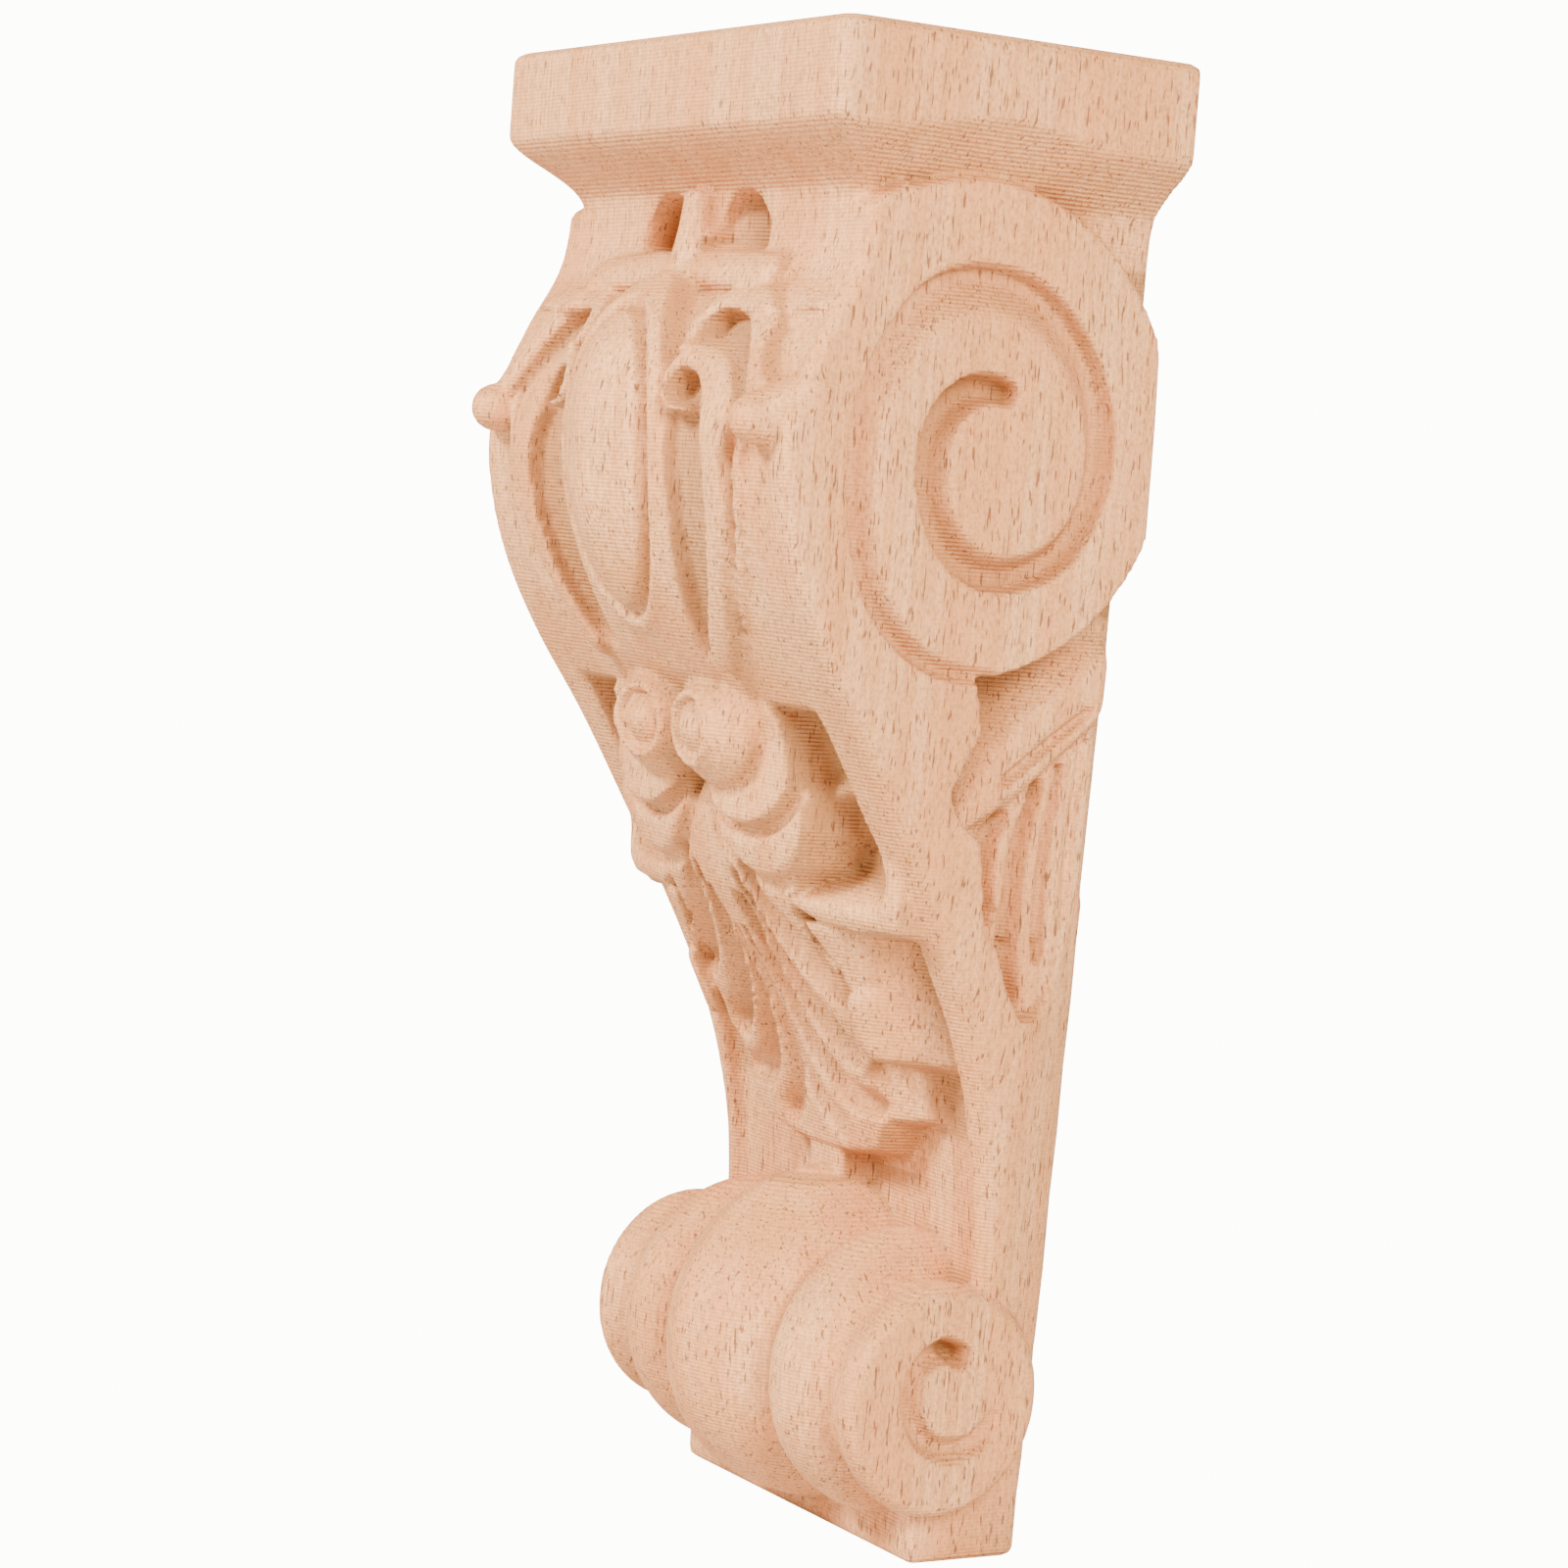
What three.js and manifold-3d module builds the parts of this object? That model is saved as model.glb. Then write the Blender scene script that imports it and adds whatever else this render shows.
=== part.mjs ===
// Carved wood corbel, one solid piece of wood, in millimetres with +Z up.
// The back is the plane Y = 0, the front looks along -Y, and the origin is the centre of the back.
// Carving is placed by [millimetres across or from the wall, level as a share of the height], and
// the carving of the front is given for the right half.
import * as THREE from 'three';
import { mergeVertices } from 'three/addons/utils/BufferGeometryUtils.js';
import Module from 'manifold-3d';

const wasm = await Module();
wasm.setup();

// Overall sizes
const height = 200;
const coreTopWidth = 74;
const coreBottomWidth = 60;

// Square slab on top, with the cove that carries it
const abacus = { width: 90.5, depth: 54, face: 11.7, edge: 1.4 };
const cove = { height: 11.3, steps: 7, neckWidth: 75, neckDepth: 45.4, rootBelow: 8 };

// Raised S-band on each side: half widths seen from the front, by height
const bandHalfWidth = { foot: 34, waist: 36, volute: 40.8, neck: 41 };
const bandLevels = { foot: 0.2, waist: 0.36, volute: 0.575, neck: 0.92 };
const bandStrip = { width: 11, topLevel: 0.585, bottomLevel: 0.38, steps: 7 };
const bandLean = { depth: 12, fromLevel: 0.46, toLevel: 0.56 };
const bandArch = { level: 0.754, back: 28.5, halfDepth: 31.3, halfHeight: 31.9, from: 58, to: 266 };

// Depth of the front corner, as a share of the height against millimetres
const frontCorner = [
  [0.1, 11], [0.27, 12], [0.325, 15], [0.36, 17.8], [0.41, 23.2], [0.48, 31.3], [0.54, 38.5], [0.6, 46.8],
  [0.64, 51.2], [0.69, 54.7], [0.735, 55.8], [0.77, 54.4], [0.81, 51], [0.85, 46.8], [0.92, 45.4],
];
const cornerRound = 3.2;

// Cabochon on the belly, the ring round it and the swell that carries them
const egg = { level: 0.7275, halfWidth: 10.2, halfHeight: 20.8, rise: 3.8 };
const ring = { outside: 2, halfWidth: 2.2, rise: 1.6, valley: 0.8, blend: 1.6 };
const belly = { rise: 3.4, halfWidth: 25, bottomLevel: 0.54, topLevel: 0.9, fade: 15 };

// Straps with hooked ends and the grooves between them; a scoop is deepest along its wall
const straps = [
  {
    line: [[11.6, 0.754], [12, 0.78], [16.6, 0.794], [21.6, 0.777], [23.6, 0.74]],
    halfWidths: [2, 3, 3.4, 3.2, 1.6], rise: 2,
  },
  {
    line: [[19.4, 0.799], [20.6, 0.823], [26, 0.83], [29.6, 0.8], [29, 0.74]],
    halfWidths: [2, 2.8, 3.2, 3, 1.6], rise: 1.8,
  },
  { line: [[4, 0.844], [13, 0.847], [23, 0.841]], halfWidths: [3.4, 3.8, 3.2], rise: 2.6 },
  { line: [[0, 0.86], [0, 0.83]], halfWidths: [3.6, 3.6], rise: 3 },
];
const strapScoops = [
  {
    wall: [[15.6, 0.58], [20, 0.625], [21.8, 0.668], [21, 0.71], [18.4, 0.75]],
    widths: [2, 6, 8, 7.4, 4], depth: 6,
  },
  {
    wall: [[30, 0.61], [34, 0.635], [36.2, 0.67], [36.4, 0.71], [35, 0.738]],
    widths: [2, 5, 7, 7, 4], depth: 4.6,
  },
];
const scoopWall = 2.6;
const strapHollows = [
  { line: [[12.6, 0.769], [15, 0.761]], halfWidths: [2.6, 2.2], depth: 3.6 },
  { line: [[34.6, 0.818], [34.8, 0.787]], halfWidths: [5, 4], depth: 4.2 },
  { line: [[22.6, 0.808], [25, 0.797]], halfWidths: [2.2, 2], depth: 2.4 },
];
const carvingFade = { level: 0.885, blend: 8 };
const knob = { level: 0.749, radius: 3.1, inset: 5, proud: 1.6 };

// Notches cut through the neck above the cabochon
const notch = { level: 0.877, at: 9.9, halfWidth: 6.2, halfHeight: 5.6, floor: 42.4, sides: 16 };

// Pair of buds: depth of the rim from the wall, and the dome over it
const bud = { level: 0.551, at: 10.4, halfWidth: 10.6, halfHeight: 9, rim: 43.2, rise: 7 };
const budEye = { level: 0.544, at: 7.2, halfWidth: 4.8, halfHeight: 6, depth: 1.6 };

// Sunk field with the leaf that hangs below the buds
const field = { topLevel: 0.567, drop: 4.4, footLevel: 0.22, footDrop: 1.6, border: 9.6, slope: 3 };
const leafRise = [
  [0.24, 3.4], [0.27, 4.2], [0.3, 5.2], [0.35, 6.9], [0.4, 8],
  [0.45, 9], [0.49, 8.6], [0.52, 7.4], [0.57, 5.6],
];
const leafOutline = [
  [-4, 0.58], [22, 0.57], [22.6, 0.5], [20, 0.463], [17.6, 0.42], [20.4, 0.36], [20, 0.326],
  [15.8, 0.319], [16.6, 0.288], [9.4, 0.257], [-4, 0.255],
];
const leafEdge = { out: 1.2, width: 3 };
const leafLobes = [
  { root: [13, 0.458], tip: [31.4, 0.442], above: 11, below: 3.4, end: 8 },
  { root: [11, 0.39], tip: [31, 0.341], above: 9, below: 3.4, end: 9 },
  { root: [6, 0.335], tip: [19, 0.296], above: 7, below: 3, end: 4 },
];
const leafHollows = [
  { line: [[5, 0.46], [11.4, 0.42], [16, 0.385], [19.4, 0.355]], halfWidths: [1.6, 3.4, 3.6, 2.4], depth: 3 },
  {
    line: [[3, 0.42], [7, 0.365], [10.6, 0.33], [14.4, 0.304]],
    halfWidths: [1.4, 2.4, 2.8, 2.2], depth: 2.4,
  },
  { line: [[1.6, 0.37], [3.4, 0.315], [7, 0.275]], halfWidths: [1.2, 1.8, 1.6], depth: 1.6 },
];
const sheaths = [
  { level: 0.543, at: 11.2, halfWidth: 11.8, halfHeight: 11.6, step: 1.6 },
  { level: 0.537, at: 12, halfWidth: 13.4, halfHeight: 16, step: 0.9 },
];

// Volute on each side: distance of the groove from the eye at each quarter turn
const volute = { eyeLevel: 0.737, eyeBack: 25.5, steps: 42 };
const voluteQuarters = [27.5, 19.6, 23.2, 17.8, 15.4, 9.6, 9.3, 7];
const voluteGroove = { mouth: 5.4, floor: 2, depth: 2.4, taper: 5 };

// Leaf in the recess behind the strip: a broad finger above, and flutes below it
const sideLeaf = {
  across: 16, along: 30, front: 28, back: 1.2, bottomLevel: 0.37, topLevel: 0.62, recess: -1.4, fluted: 2.2,
};
const sideFinger = {
  line: [[1.6, 0.594], [11, 0.553], [17.4, 0.522], [22, 0.499]],
  halfWidths: [4, 4.4, 3.8, 1.8],
  rise: 3.6,
};
const sideHollows = [
  { line: [[4.1, 0.58], [15.6, 0.532]], halfWidths: [1.6, 1.8], depth: 1.6 },
  { line: [[16.6, 0.498], [16.8, 0.47], [15.8, 0.444]], halfWidths: [2.4, 2.6, 2.2], depth: 2.8 },
  { line: [[11.8, 0.51], [12, 0.46], [12.4, 0.42], [11, 0.392]], halfWidths: [2, 2.4, 2.4, 2.2], depth: 2.6 },
  { line: [[7.2, 0.525], [7, 0.46], [7, 0.41]], halfWidths: [1.6, 2, 1.6], depth: 1.8 },
];

// Scroll at the foot: stations across the width, as [half width, radius]
const scroll = { level: 0.125, back: 16.6, stretch: 1.04, sides: 28, eyeBack: 15.6, grooveSteps: 16 };
const scrollStations = [
  [0, 21.3], [4, 20.9], [8, 19.3], [12, 15.6], [14, 17.2], [18, 17.8], [22.5, 15.2],
  [26.5, 11.6], [30, 13.6], [33, 14.6], [35, 12.8],
];
const scrollQuarters = [6.5, 7.2, 7.6, 8.2, 6.6];
const scrollGroove = { mouth: 4.2, floor: 1.4, depth: 2, taper: 3 };

// Rounded forms stop this far in front of the wall, so that the back stays flat
const backFlat = 0.4;

// Block behind the foot of the scroll
const footBlock = { aboveScroll: 5, depth: 17, chamfer: 1.2 };

// Fineness of the carved front; faces that lie within the tolerance of each other are then merged
const frontColumns = 50;
const frontRows = 74;
const tolerance = 0.12;

// Solids that are cut by others run past them by this
const overrun = 6;
const grooveOver = 0.8;
const frontOver = 0.4;

const clamp01 = (t) => Math.min(1, Math.max(0, t));
const mix = (a, b, t) => a + (b - a) * t;
const ease = (t) => clamp01(t) * clamp01(t) * (3 - 2 * clamp01(t));

// Straight lines between sorted [position, value] stops
function between(stops, at) {
  const i = Math.max(0, Math.min(stops.length - 2, stops.findLastIndex((stop) => stop[0] <= at)));
  const [from, to] = [stops[i], stops[i + 1]];
  return mix(from[1], to[1], clamp01((at - from[0]) / (to[0] - from[0])));
}

// Smooth curve through sorted [position, value] stops
function through(stops, at) {
  const last = stops.length - 1;
  if (at <= stops[0][0]) return stops[0][1];
  if (at >= stops[last][0]) return stops[last][1];
  const i = stops.findIndex((stop, k) => k < last && at < stops[k + 1][0]);
  const slope = (k) => {
    const a = stops[Math.max(0, k - 1)];
    const b = stops[Math.min(last, k + 1)];
    return (b[1] - a[1]) / (b[0] - a[0]);
  };
  const span = stops[i + 1][0] - stops[i][0];
  const t = (at - stops[i][0]) / span;
  const rise = stops[i + 1][1] - stops[i][1];
  const start = slope(i) * span;
  const end = slope(i + 1) * span;
  return stops[i][1] + t * (start + t * (3 * rise - 2 * start - end + t * (start + end - 2 * rise)));
}

// Half width of the plain core, and of the raised band, at a height
const coreHalf = (z) => mix(coreBottomWidth, coreTopWidth, z / height) / 2;
const bandStops = Object.keys(bandLevels).map((name) => [bandLevels[name] * height, bandHalfWidth[name]]);
const bandHalf = (z) => between(bandStops, z);

// How far a point is inside an oval, 1 at its centre and 0 at its rim
const inOval = (x, z, form) => 1 - ((x - form.at) / form.halfWidth) ** 2
  - ((z - form.level * height) / form.halfHeight) ** 2;

// Distance outside the rim of the cabochon, negative inside it
function fromEgg(x, z) {
  const up = z - egg.level * height;
  const share = Math.hypot(x / egg.halfWidth, up / egg.halfHeight);
  const slope = Math.hypot(x / egg.halfWidth ** 2, up / egg.halfHeight ** 2);
  return slope > 0 ? (share - 1) * share / slope : -egg.halfWidth;
}

// Nearest place on a line: how far away it is, its share of the line, and whether it is passed on the left
function nearest(line, x, z) {
  let best = { away: Infinity };
  for (let k = 0; k + 1 < line.length; k += 1) {
    const run = [line[k + 1][0] - line[k][0], (line[k + 1][1] - line[k][1]) * height];
    const offset = [x - line[k][0], z - line[k][1] * height];
    const t = clamp01((offset[0] * run[0] + offset[1] * run[1]) / (run[0] ** 2 + run[1] ** 2));
    const away = Math.hypot(offset[0] - run[0] * t, offset[1] - run[1] * t);
    const onLeft = run[0] * offset[1] - run[1] * offset[0] > 0;
    if (away < best.away) best = { away, share: (k + t) / (line.length - 1), onLeft };
  }
  return best;
}

const spread = (values, share) => between(values.map((value, k) => [k / (values.length - 1), value]), share);

// Carved stroke: 1 on its line and 0 at its sides
function onStroke(x, z, stroke) {
  const { away, share } = nearest(stroke.line, x, z);
  return ease(1.3 - 1.3 * away / spread(stroke.halfWidths, share));
}

// Scoop with a steep wall on the right of its line and a long slope on the left
function inScoop(x, z, scoop) {
  const { away, share, onLeft } = nearest(scoop.wall, x, z);
  return 1 - ease(away / (onLeft ? spread(scoop.widths, share) : scoopWall));
}

// Distance inside a closed outline, negative outside it
function insideOutline(outline, x, z) {
  const closed = [...outline, outline[0]];
  const { away } = nearest(closed, x, z);
  let inside = false;
  for (let k = 0; k + 1 < closed.length; k += 1) {
    const [low, high] = [closed[k], closed[k + 1]].sort((a, b) => a[1] - b[1]);
    const level = z / height;
    const crossing = between([[low[1], low[0]], [high[1], high[0]]], level);
    if (level > low[1] && level <= high[1] && x < crossing) inside = !inside;
  }
  return inside ? away : -away;
}

// Carving of the belly above the field: cabochon, ring, straps and the grooves between them
function bellyCarving(x, z) {
  const across = clamp01(1 - (x / belly.halfWidth) ** 2) ** 1.5;
  const below = ease((z - belly.bottomLevel * height) / belly.fade);
  const above = ease((belly.topLevel * height - z) / belly.fade);
  const swell = belly.rise * across * below * above;
  let depth = swell;
  for (const strap of straps) depth = Math.max(depth, swell + strap.rise * onStroke(x, z, strap));
  for (const scoop of strapScoops) depth -= scoop.depth * inScoop(x, z, scoop);
  for (const hollow of strapHollows) depth -= hollow.depth * onStroke(x, z, hollow);
  const outside = fromEgg(x, z);
  const crest = ease(1 - Math.abs(outside - ring.outside) / ring.halfWidth);
  const onRing = ease((ring.outside + ring.halfWidth - outside) / ring.blend);
  depth = mix(depth, swell - ring.valley + ring.rise * crest, onRing);
  depth += egg.rise * Math.sqrt(clamp01(-outside / egg.halfWidth));
  return depth * ease((carvingFade.level * height - z) / carvingFade.blend + 0.5);
}

// Share of a lobe's full height: it runs from root to tip, slopes up slowly and ends sharply below
function onLobe(x, z, lobe) {
  const run = [lobe.tip[0] - lobe.root[0], (lobe.tip[1] - lobe.root[1]) * height];
  const length = Math.hypot(...run);
  const offset = [x - lobe.root[0], z - lobe.root[1] * height];
  const along = (offset[0] * run[0] + offset[1] * run[1]) / length;
  const above = (run[0] * offset[1] - run[1] * offset[0]) / length;
  const beside = 1 - ease(above > 0 ? above / lobe.above : -above / lobe.below);
  return beside * ease((length - along) / lobe.end) * ease(along / lobe.end + 1);
}

// Carving of the sunk field and of the leaf in it
function leafCarving(x, z) {
  const towardTop = ease((z / height - field.footLevel) / (field.topLevel - field.footLevel));
  const inBorder = ease((bandHalf(z) - field.border - x) / field.slope + 0.5);
  const ground = -mix(field.footDrop, field.drop, towardTop) * inBorder;
  let onLeaf = ease((insideOutline(leafOutline, x, z) + leafEdge.out) / leafEdge.width);
  for (const lobe of leafLobes) onLeaf = Math.max(onLeaf, onLobe(x, z, lobe));
  let rise = through(leafRise, z / height);
  for (const hollow of leafHollows) rise -= hollow.depth * onStroke(x, z, hollow);
  for (const sheath of sheaths) rise += sheath.step * ease(6 * inOval(x, z, sheath));
  return mix(ground, rise, onLeaf);
}

// Depth of a bud from the wall, and nothing outside it
function budDepth(x, z) {
  const inside = inOval(x, z, bud);
  if (inside <= 0) return 0;
  return bud.rim + bud.rise * Math.sqrt(inside) - budEye.depth * ease(2 * inOval(x, z, budEye));
}

// Depth of the carved front at a place across and up
function frontDepth(signedX, z) {
  const x = Math.abs(signedX);
  const pastRound = Math.min(cornerRound, Math.max(0, x - bandHalf(z) + cornerRound));
  const turned = cornerRound - Math.sqrt(cornerRound ** 2 - pastRound ** 2);
  const corner = through(frontCorner, z / height) - turned;
  const inField = ease((field.topLevel * height - z) / field.slope + 0.5);
  return Math.max(corner + mix(bellyCarving(x, z), leafCarving(x, z), inField), budDepth(x, z));
}

// Closed mesh from vertices and triangles, as a solid
function solid(vertices, triangles) {
  const geometry = new THREE.BufferGeometry();
  geometry.setAttribute('position', new THREE.Float32BufferAttribute(vertices, 3));
  geometry.setIndex(triangles);
  return solidOf(geometry);
}

function solidOf(source) {
  const geometry = source.clone();
  geometry.deleteAttribute('normal');
  geometry.deleteAttribute('uv');
  const merged = mergeVertices(geometry, 1e-4);
  return new wasm.Manifold(new wasm.Mesh({
    numProp: 3,
    vertProperties: new Float32Array(merged.attributes.position.array),
    triVerts: new Uint32Array(merged.index.array),
  }));
}

// Closed tube of equal rings with flat ends
function loft(rings) {
  const sides = rings[0].length;
  const vertices = rings.flat(2);
  const triangles = [];
  for (let r = 0; r + 1 < rings.length; r += 1) {
    for (let s = 0; s < sides; s += 1) {
      const a = r * sides + s;
      const b = r * sides + ((s + 1) % sides);
      triangles.push(a, b, b + sides, a, b + sides, a + sides);
    }
  }
  const lastRing = (rings.length - 1) * sides;
  for (let s = 1; s + 1 < sides; s += 1) {
    triangles.push(0, s + 1, s, lastRing, lastRing + s, lastRing + s + 1);
  }
  return solid(vertices, triangles);
}

// Solid block between a carved grid, given by place(i, j, onSurface), and its flat far side
function carvedBlock(columns, rows, place) {
  const vertices = [];
  const triangles = [];
  const index = (layer, i, j) => (layer * (rows + 1) + j) * (columns + 1) + i;
  for (const layer of [0, 1]) {
    for (let j = 0; j <= rows; j += 1) {
      for (let i = 0; i <= columns; i += 1) vertices.push(...place(i / columns, j / rows, layer === 0));
    }
  }
  const quad = (a, b, c, d) => triangles.push(a, b, c, a, c, d);
  for (let j = 0; j < rows; j += 1) {
    for (let i = 0; i < columns; i += 1) {
      quad(index(0, i, j), index(0, i + 1, j), index(0, i + 1, j + 1), index(0, i, j + 1));
      quad(index(1, i, j), index(1, i, j + 1), index(1, i + 1, j + 1), index(1, i + 1, j));
    }
    quad(index(0, 0, j), index(0, 0, j + 1), index(1, 0, j + 1), index(1, 0, j));
    quad(index(0, columns, j), index(1, columns, j), index(1, columns, j + 1), index(0, columns, j + 1));
  }
  for (let i = 0; i < columns; i += 1) {
    quad(index(0, i, 0), index(1, i, 0), index(1, i + 1, 0), index(0, i + 1, 0));
    quad(index(0, i, rows), index(0, i + 1, rows), index(1, i + 1, rows), index(1, i, rows));
  }
  return solid(vertices, triangles);
}

// Carved front, running a little past the sides so that the band cuts it clean
function frontBlock() {
  const bottom = scroll.level * height;
  const top = height - abacus.face - cove.height / 2;
  return carvedBlock(frontColumns, frontRows, (u, v, onSurface) => {
    const z = mix(bottom, top, v);
    const x = mix(-1, 1, u) * (bandHalf(z) + frontOver);
    return [x, onSurface ? -frontDepth(x, z) : overrun, z];
  });
}

// Plain core and raised bands, which the carved front is cut to
function sideBlock() {
  const coreRings = [0, height - abacus.face].map((z) => rectangle(coreHalf(z), abacus.depth * 2, z));
  const { foot, waist, volute: voluteLevel, neck } = bandLevels;
  const levels = [scroll.level, foot, waist, bandLean.fromLevel, bandLean.toLevel, voluteLevel, neck];
  const bandRings = levels.map((level) => {
    const z = level * height;
    const upright = ease((level - bandLean.fromLevel) / (bandLean.toLevel - bandLean.fromLevel));
    const half = bandHalf(z);
    const wall = mix(coreHalf(z), half, upright);
    return [
      [-wall, 0, z], [-half, -bandLean.depth, z], [-half, -abacus.depth * 2, z],
      [half, -abacus.depth * 2, z], [half, -bandLean.depth, z], [wall, 0, z],
    ];
  });
  const width = abacus.width * 2;
  const outline = new THREE.ExtrudeGeometry(bandOutline(), {
    depth: width, bevelEnabled: false, curveSegments: 28,
  });
  outline.translate(0, 0, -width / 2);
  outline.applyMatrix4(new THREE.Matrix4().makeBasis(
    new THREE.Vector3(0, -1, 0), new THREE.Vector3(0, 0, 1), new THREE.Vector3(-1, 0, 0),
  ));
  return loft(coreRings).add(loft(bandRings).intersect(solidOf(outline)));
}

const rectangle = (half, depth, z) => [[-half, 0, z], [-half, -depth, z], [half, -depth, z], [half, 0, z]];

// Outline of the band seen from the side: x is the depth from the wall, y the height
function bandOutline() {
  const shape = new THREE.Shape();
  const degree = Math.PI / 180;
  const { back, level, halfDepth, halfHeight, from, to } = bandArch;
  shape.moveTo(abacus.depth * 2, scroll.level * height);
  shape.lineTo(abacus.depth * 2, bandLevels.neck * height - overrun);
  shape.absellipse(back, level * height, halfDepth, halfHeight, from * degree, to * degree, false);
  for (let k = 0; k <= bandStrip.steps; k += 1) {
    const stripLevel = mix(bandStrip.topLevel, bandStrip.bottomLevel, k / bandStrip.steps);
    shape.lineTo(through(frontCorner, stripLevel) - bandStrip.width, stripLevel * height);
  }
  shape.lineTo(-overrun, bandStrip.bottomLevel * height);
  shape.lineTo(-overrun, scroll.level * height);
  return shape;
}

// Spiral about an eye: distance by quarter turns, starting straight down and turning to the front
function spiral(quarters, eye, steps) {
  const stops = quarters.map((distance, k) => [k, distance]);
  const points = [];
  for (let k = 0; k <= steps; k += 1) {
    const turn = (quarters.length - 1) * k / steps;
    const angle = turn * Math.PI / 2;
    const radius = through(stops, turn);
    points.push([eye[0] + radius * Math.sin(angle), eye[1] - radius * Math.cos(angle)]);
  }
  return points;
}

// Tapered cutter that follows a path on a side face, from its floor to outside the face
function sideGroove(path, groove, face) {
  const rings = path.map((point, k) => {
    const before = path[Math.max(0, k - 1)];
    const after = path[Math.min(path.length - 1, k + 1)];
    const length = Math.hypot(after[0] - before[0], after[1] - before[1]);
    const normal = [-(after[1] - before[1]) / length, (after[0] - before[0]) / length];
    const surface = face(point[1]);
    const size = Math.min(1, (k + 1) / groove.taper);
    const corner = (offset, out) => [
      surface + out, -(point[0] + normal[0] * offset * size), point[1] + normal[1] * offset * size,
    ];
    return [
      corner(-groove.mouth / 2, grooveOver), corner(groove.mouth / 2, grooveOver),
      corner(groove.floor / 2, -groove.depth * size), corner(-groove.floor / 2, -groove.depth * size),
    ];
  });
  return loft(rings);
}

// The same solid on both sides of the corbel
const mirrored = (part) => part.add(part.mirror([1, 0, 0]));

// Leaf in the recess behind the strip, standing on the core
function sideLeafBlock() {
  return carvedBlock(sideLeaf.across, sideLeaf.along, (u, v, onSurface) => {
    const depth = mix(sideLeaf.front, sideLeaf.back, u);
    const z = mix(sideLeaf.bottomLevel, sideLeaf.topLevel, v) * height;
    const above = nearest(sideFinger.line, depth, z).onLeft;
    const ground = above ? sideLeaf.recess : sideLeaf.fluted;
    let rise = mix(ground, sideFinger.rise, onStroke(depth, z, sideFinger));
    for (const hollow of sideHollows) rise -= hollow.depth * onStroke(depth, z, hollow);
    return [coreHalf(z) + (onSurface ? rise : -overrun), -depth, z];
  });
}

// Cutter for the notch in the right half of the neck
function notchCutter() {
  const ring = (depth) => Array.from({ length: notch.sides }, (_, k) => {
    const angle = k / notch.sides * Math.PI * 2;
    const z = notch.level * height + notch.halfHeight * Math.sin(angle);
    return [notch.at + notch.halfWidth * Math.cos(angle), -depth, z];
  });
  return loft([ring(notch.floor), ring(abacus.depth * 2)]);
}

// Top slab and its cove, as one stack of rectangles with blunt front corners
function crown() {
  const rings = [];
  const plan = (half, depth, z) => {
    const blunt = abacus.edge;
    return [
      [-half, 0, z], [-half, blunt - depth, z], [blunt - half, -depth, z],
      [half - blunt, -depth, z], [half, blunt - depth, z], [half, 0, z],
    ];
  };
  const faceBottom = height - abacus.face;
  const neck = faceBottom - cove.height;
  const root = cove.rootBelow;
  rings.push(plan(cove.neckWidth / 2 - root, cove.neckDepth - root * 2, neck - root));
  for (let k = 0; k <= cove.steps; k += 1) {
    const t = k / cove.steps;
    const out = ease(t) ** 1.5;
    rings.push(plan(
      mix(cove.neckWidth, abacus.width, out) / 2,
      mix(cove.neckDepth, abacus.depth, out),
      mix(neck, faceBottom, t),
    ));
  }
  rings.push(plan(abacus.width / 2, abacus.depth, height - abacus.edge));
  rings.push(plan(abacus.width / 2 - abacus.edge, abacus.depth - abacus.edge, height));
  return loft(rings);
}

// Ribbed scroll lying across the foot
function footScroll() {
  const mirroredStations = scrollStations.slice(1).reverse().map(([half, radius]) => [-half, radius]);
  const rings = [...mirroredStations, ...scrollStations].map(([x, radius]) => {
    const ringPoints = [];
    for (let s = 0; s < scroll.sides; s += 1) {
      const angle = s / scroll.sides * Math.PI * 2;
      ringPoints.push([
        x,
        Math.min(-backFlat, -scroll.back + radius * Math.cos(angle)),
        scroll.level * height + radius * scroll.stretch * Math.sin(angle),
      ]);
    }
    return ringPoints;
  });
  return loft(rings);
}

// Block under the body, behind the scroll
function footBlockSolid() {
  const plan = (inset, z) => rectangle(coreHalf(z) - inset, footBlock.depth - inset, z);
  const top = scroll.level * height + footBlock.aboveScroll;
  return loft([plan(footBlock.chamfer, 0), plan(0, footBlock.chamfer), plan(0, top)]);
}

function knobs() {
  const z = knob.level * height;
  const ball = new THREE.IcosahedronGeometry(knob.radius, 2);
  const x = bandHalf(z) - knob.inset;
  ball.translate(x, -through(frontCorner, knob.level) - knob.proud, z);
  return mirrored(solidOf(ball));
}

function corbelGeometry() {
  const eye = [volute.eyeBack, volute.eyeLevel * height];
  const voluteCut = sideGroove(spiral(voluteQuarters, eye, volute.steps), voluteGroove, bandHalf);
  const scrollEye = [scroll.eyeBack, scroll.level * height];
  const scrollEnd = scrollStations[scrollStations.length - 1][0];
  const scrollPath = spiral(scrollQuarters, scrollEye, scroll.grooveSteps);
  const scrollCut = sideGroove(scrollPath, scrollGroove, () => scrollEnd);
  const whole = frontBlock().intersect(sideBlock().add(mirrored(sideLeafBlock())))
    .add(footBlockSolid())
    .add(crown())
    .add(footScroll())
    .add(knobs())
    .subtract(mirrored(notchCutter()))
    .subtract(mirrored(voluteCut))
    .subtract(mirrored(scrollCut));
  const mesh = whole.simplify(tolerance).getMesh();
  const geometry = new THREE.BufferGeometry();
  geometry.setAttribute('position', new THREE.Float32BufferAttribute(mesh.vertProperties, 3));
  geometry.setIndex(Array.from(mesh.triVerts));
  return geometry;
}

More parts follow.
